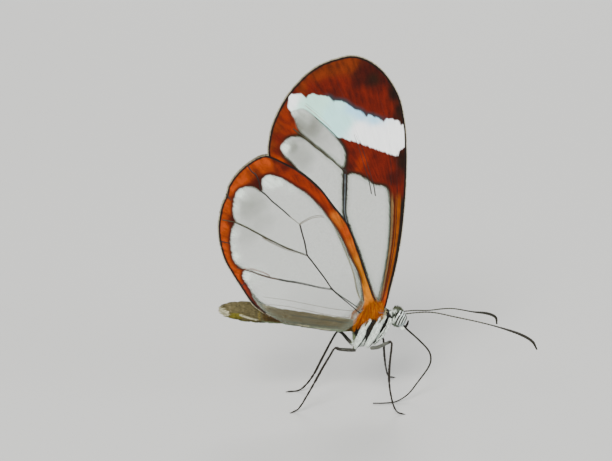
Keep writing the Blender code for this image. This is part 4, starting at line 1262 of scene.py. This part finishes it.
limbRoutes = {
    "proboscis": (
        (3.4, -0.03, 8.8), (3.6, -0.05, 8.5), (4.35, -0.05, 7.75), (5.25, -0.1, 6.85), (6.25, -0.3, 5.7),
        (6.55, -0.45, 4.7), (6.25, -0.6, 3.65), (4.95, -0.95, 2.0), (3.8, -1.35, 0.8), (2.4, -1.8, 0.2),
        (0.95, -2.0, 0.17), (-0.35, -1.75, 0.12),
    ),
    "antenna_right": (
        (3.2, -0.36, 10.3), (3.5, -0.42, 10.38), (4.9, -1.0, 10.72), (6.5, -1.7, 10.9),
        (8.8, -2.75, 10.65), (11.2, -3.8, 10.35), (13.4, -4.75, 9.95), (15.4, -5.7, 9.45),
        (16.7, -6.25, 8.75), (17.25, -6.5, 7.8),
    ),
    "antenna_left": (
        (3.25, 0.36, 10.3), (3.55, 0.42, 10.35), (4.9, 1.1, 10.1), (6.55, 1.95, 9.65), (9.6, 3.45, 9.1),
        (12.7, 5.0, 7.85), (14.2, 5.8, 7.3), (15.3, 6.35, 6.75), (15.9, 6.65, 6.2), (16.05, 6.7, 5.4),
    ),
    "midleg_right": (
        (-0.45, -0.85, 6.6), (0.15, -1.8, 7.1), (0.85, -2.85, 7.95), (1.32, -3.4, 8.35), (1.32, -3.6, 7.6),
        (1.1, -3.9, 5.9), (1.0, -4.3, 3.8), (1.3, -4.65, 1.7), (1.8, -4.85, 0.45), (2.6, -4.9, 0.06),
    ),
    "midleg_left": (
        (-0.45, 0.85, 6.6), (0.15, 1.2, 6.7), (0.9, 1.6, 6.7), (1.38, 1.85, 6.5), (1.5, 2.05, 5.9),
        (1.65, 2.5, 4.8), (1.85, 3.15, 3.5), (2.15, 3.9, 2.0), (2.6, 4.5, 0.5), (3.35, 4.9, 0.06),
    ),
    "hindleg_right": (
        (-2.35, -0.8, 6.45), (-3.1, -1.25, 6.7), (-4.2, -1.7, 7.05), (-4.85, -1.95, 7.3),
        (-5.5, -2.05, 6.3), (-6.25, -2.2, 5.1), (-7.2, -2.35, 3.4), (-8.05, -2.5, 1.95),
        (-9.0, -2.65, 0.5), (-9.85, -2.75, 0.06),
    ),
    "hindleg_left": (
        (-2.3, 0.85, 6.4), (-2.8, 1.35, 6.85), (-3.35, 1.95, 7.4), (-3.8, 2.3, 7.5), (-4.3, 2.45, 6.75),
        (-5.6, 2.55, 4.1), (-6.5, 2.65, 2.2), (-7.4, 2.75, 0.85), (-8.3, 2.75, 0.15), (-9.6, 2.7, 0.1),
    ),
}
limbMake = {
    "proboscis": 0.105,
    "antenna": 0.08,
    "club": 0.17,
    "femur": 0.215,
    "femurPale": {"mid": 0.7, "hin": 0.3},
    "tibia": 0.12,
    "tarsus": 0.1,
    "tarsusJoints": 5,
    "pinches": (("knee", 0.3, 0.12), ("ankle", 0.2, 0.1)),     # how deep and within what reach
    "beadSpacing": 0.36,
    "ringSpacing": 0.22,
    "claw": 0.035,
    "spur": 0.04,
    "hairs": 260,
    "hair": (0.22, 0.03, 0.012, 0.1),      # length, width, thickness, lift
}


def alongRoute(route, step):
    # evenly spaced places along a smooth route, with how far along each is, from 0 to 1
    line = smoothPath([knot[:3] for knot in route], 12)
    travelled = np.concatenate(([0.0], np.cumsum([(b - a).length for a, b in zip(line, line[1:])])))
    count = max(3, int(travelled[-1] / step))
    wanted = np.linspace(0, travelled[-1], count)
    table = np.array([tuple(point) for point in line])
    places = np.stack([np.interp(wanted, travelled, table[:, k]) for k in range(3)], axis=1)
    return places, wanted, travelled[-1]


def routeLength(route, knots):
    return alongRoute(route[:knots + 1], 1.0)[2]


def nearestOf(spots, places):
    return np.argmin(np.linalg.norm(spots[:, None] - places[None], axis=2), axis=1)


def aroundRoute(places, first, last, draw):
    # a place along a route, the way ahead there and a way out from it
    k = draw.randrange(first, len(places) - last)
    ahead = Vector(places[k + 1] - places[k - 1]).normalized()
    across = ahead.orthogonal().normalized()
    angle = draw.uniform(0, wholeTurn)
    return k, ahead, across * math.cos(angle) + ahead.cross(across) * math.sin(angle)


def limbMaterial(name, dark, light):
    made = newMaterial(name, 0.5, 0.2)
    grain = grainOf(made, 3500)
    uneven = vary(made, reading(made, "pale"), grain, 0.8)
    feed(made, "Base Color", blend(made, ease(made, uneven, 0.1, 0.9), dark, light))
    addBump(made, grain, 0.3, 0.00003)
    return made


def makeFeelers(stuff):
    for sideName, _ in sides:
        name = "antenna_" + sideName
        places, travelled, length = alongRoute(limbRoutes[name], 0.06)
        share = travelled / length
        # a bead for every joint of the feeler, then a slender club
        bead = 0.5 - 0.5 * np.cos(travelled / limbMake["beadSpacing"] * wholeTurn)
        club = soften((share - 0.62) / 0.24) * (1 - soften((share - 0.93) / 0.075) * 0.8)
        radii = limbMake["antenna"] * (0.86 + 0.2 * bead) + (limbMake["club"] - limbMake["antenna"]) * club
        feeler = drawTube(name + "_beaded", places, radii, 2, stuff)
        nearest = nearestOf(placesOf(feeler), places)
        setReading(feeler, "pale", (1 - bead[nearest]) * 0.5 * (1 - soften((share[nearest] - 0.55) / 0.15)))
        finishPiece(feeler, "horn", name, "antenna_club_" + sideName)


def makeProboscis(stuff):
    route = limbRoutes["proboscis"]
    places, travelled, length = alongRoute(route, 0.07)
    share = travelled / length
    rings = 1 + 0.05 * np.sin(travelled / limbMake["ringSpacing"] * wholeTurn)
    radii = limbMake["proboscis"] * (1.15 - 0.5 * share) * rings
    places[:, 2] = np.maximum(places[:, 2], radii)
    tongue = drawTube("proboscisTube", places, radii, 2, stuff)
    setReading(tongue, "pale", np.full(len(tongue.data.vertices), 0.2))
    finishPiece(tongue, "horn", "proboscis_root", "proboscis_knee", "proboscis_lower", "proboscis_tip")


def makeLegs(stuff, draw):
    for name in ("midleg_right", "midleg_left", "hindleg_right", "hindleg_left"):
        route = limbRoutes[name]
        places, travelled, length = alongRoute(route, 0.07)
        knee, ankle = routeLength(route, 3), routeLength(route, 6)
        femur = limbMake["femur"] * (1 - 0.3 * soften((travelled - knee * 0.3) / knee))
        tibia = limbMake["tibia"] * (1 + 0.15 * soften((travelled - knee) / (ankle - knee)))
        joints = (travelled - ankle) / (length - ankle) * limbMake["tarsusJoints"]
        swell = 0.85 + 0.25 * np.abs(np.sin(np.pi * np.clip(joints, 0, None)))
        tarsus = limbMake["tarsus"] * swell * (1.1 - 0.25 * soften(joints / limbMake["tarsusJoints"]))
        radii = np.where(travelled < knee, femur, np.where(travelled < ankle, tibia, tarsus))
        for joint, depth, reach in limbMake["pinches"]:
            apart = travelled - (knee if joint == "knee" else ankle)
            radii = radii * (1 - depth * np.exp(-(apart / reach) ** 2))
        places[:, 2] = np.maximum(places[:, 2], radii)
        parts = [drawTube(name, places, radii, 2, stuff)]
        tip, before = Vector(places[-1]), Vector(places[-4])
        ahead = (tip - before).normalized()
        aside = ahead.cross(Vector((0, 0, 1))).normalized()
        low = int(np.searchsorted(travelled, ankle))
        spur = Vector(places[low - 1])
        down = (Vector(places[low + 2]) - spur).normalized()
        for turn in (-1, 1):
            end = tip + ahead * 0.26 + aside * turn * 0.13 - Vector((0, 0, 0.05))
            hook = [tip, tip + ahead * 0.12 + aside * turn * 0.08, end]
            hook = [Vector((p.x, p.y, max(p.z, 0.03))) for p in hook]
            parts.append(drawSpine("claw", hook, 4, limbMake["claw"], stuff))
            reach = [spur, spur + down * 0.25 + aside * turn * 0.16, spur + down * 0.5 + aside * turn * 0.2]
            parts.append(drawSpine("spur", reach, 3, limbMake["spur"], stuff))
        parts.append(makeLegHair(places, radii, stuff, draw))
        leg = joinPieces(parts, name + "_limb")
        nearest = nearestOf(placesOf(leg), places)
        upper = limbMake["femurPale"][name[:3]]
        setReading(leg, "pale", upper * (1 - soften((travelled[nearest] - knee * 0.75) / (knee * 0.35))))
        finishPiece(leg, "horn", *(f"{name}_{part}" for part in ("femur", "tibia", "tarsus")))


def drawSpine(name, knots, steps, radius, stuff):
    # a short curved spine that tapers to its tip
    line = smoothPath(knots, steps)
    taper = [radius * (1 - i / (len(line) + 1)) for i in range(len(line))]
    return drawTube(name, line, taper, 1, stuff)


def makeLegHair(places, radii, stuff, draw):
    # short hair lying along the leg
    roots, along, out = [], [], []
    for _ in range(limbMake["hairs"]):
        k, ahead, around = aroundRoute(places, 2, 3, draw)
        root = Vector(places[k]) + around * float(radii[k]) * 0.85
        if root.z > 0.3:
            roots.append(root)
            along.append(ahead + around * 0.35)
            out.append(around)
    length, *others = limbMake["hair"]
    lengths = [length * draw.uniform(0.6, 1.3) for _ in roots]
    return plantSpikes("legHair", stuff, roots, along, out, lengths, *others, {})


# The folded forelegs and the palps: a core tube under a coat of scales.
brushPlan = {
    "foreleg": (
        (1.75, 0.56, 10.0, 0.18), (1.6, 0.6, 9.5, 0.22), (1.33, 0.62, 8.95, 0.25), (1.0, 0.62, 8.4, 0.25),
        (0.65, 0.6, 7.85, 0.24), (0.25, 0.56, 7.35, 0.2), (-0.05, 0.5, 6.95, 0.1),
    ),
    "palp": (
        (2.95, 0.42, 8.75, 0.15), (3.2, 0.5, 8.62, 0.14), (3.48, 0.56, 8.85, 0.12), (3.68, 0.6, 9.2, 0.1),
        (3.8, 0.6, 9.6, 0.05),
    ),
    "tufts": {"foreleg": (620, 0.26), "palp": (300, 0.17)},
    "width": 0.055,
    "thickness": 0.02,
    "lineSpacing": 0.13,
}


def makeBrushes(coatStuff, draw):
    for part, (tuftCount, length) in brushPlan["tufts"].items():
        for sideName, side in sides:
            route = [(x, y * side, z, r) for x, y, z, r in brushPlan[part]]
            places, _, _ = alongRoute(route, 0.08)
            knots = np.linspace(0, 1, len(route))
            radii = np.interp(np.linspace(0, 1, len(places)), knots, [knot[3] for knot in route])
            core = drawTube(f"{part}Core_{sideName}", places, radii, 2, coatStuff)
            spots = placesOf(core)
            nearest = nearestOf(spots, places)
            lean = (spots - places[nearest])[:, 0]
            setReading(core, "tint", brushTone(part, nearest / len(places), lean))
            tufts = []
            for _ in range(tuftCount):
                k, ahead, around = aroundRoute(places, 1, 1, draw)
                root = Vector(places[k]) + around * radii[k] * 0.9
                tufts.append((root, ahead + around * 0.12, around, k / len(places), around.x * radii[k]))
            roots, along, out, shares, leans = (np.array(rows) for rows in zip(*tufts))
            tones = brushTone(part, shares, leans) * np.array([[draw.uniform(0.8, 1.2)] for _ in roots])
            patches = np.stack((shares * 0.98, 0.5 + 0.45 * np.sin(np.arange(len(roots)))), axis=1)
            coat = plantSpikes(
                f"{part}Tufts_{sideName}", coatStuff, roots, along, out,
                [length * draw.uniform(0.6, 1.2) for _ in roots],
                [brushPlan["width"] * draw.uniform(0.8, 1.2) for _ in roots],
                brushPlan["thickness"], [draw.uniform(0.02, 0.2) for _ in roots], {"tint": tones}, patches,
            )
            finishPiece(core, "body_scales", f"{part}_{sideName}")
            finishPiece(coat, "body_scales")


def brushTone(part, share, lean):
    # palps are pale at the root and black from there; forelegs have fine dark lines along them
    if part == "palp":
        dark = share > 0.3
    else:
        dark = np.sin((lean + 0.02) * wholeTurn / brushPlan["lineSpacing"]) > 0.25
    return np.where(dark[:, None], np.array(bodyTones["soot"]), np.array(bodyTones["chalk"]))


def main():
    draw = random.Random(11)
    setCamera()
    setStudio()
    print("camera, floor and lamps are set")
    veins, fringe = veinMaterials(), fringeMaterial()
    makeWingPair("fore", forewing, wingMaterial("forewingScales", "fore"), veins, fringe, draw)
    print("forewings are made")
    makeWingPair("hind", hindwing, wingMaterial("hindwingScales", "hind"), veins, fringe, draw)
    print("hindwings are made")
    skinStuff, coatStuff = coatMaterial("bodySkinScales", 0.9), coatMaterial("bodyCoatScales", 0.5)
    skin = makeSkin(skinStuff)
    setReading(skin, "tint", bodyLook(placesOf(skin)))
    makeCoat(skin, coatStuff, draw)
    makeRootHair(coatStuff, draw)
    finishPiece(
        skin, "body_scales", "head", "prothorax", "mesothorax", "metathorax",
        "abdomen_front", "abdomen_middle", "abdomen_rear", "abdomen_tip",
    )
    print("body and its coat are made")
    makeEyes()
    horn = limbMaterial("limbHorn", (0.014, 0.011, 0.007), (0.12, 0.125, 0.105))
    makeFeelers(limbMaterial("feelerHorn", (0.014, 0.013, 0.007), (0.13, 0.13, 0.07)))
    makeProboscis(horn)
    makeLegs(horn, draw)
    makeBrushes(coatStuff, draw)
    print("eyes, feelers, tongue and legs are made")


main()
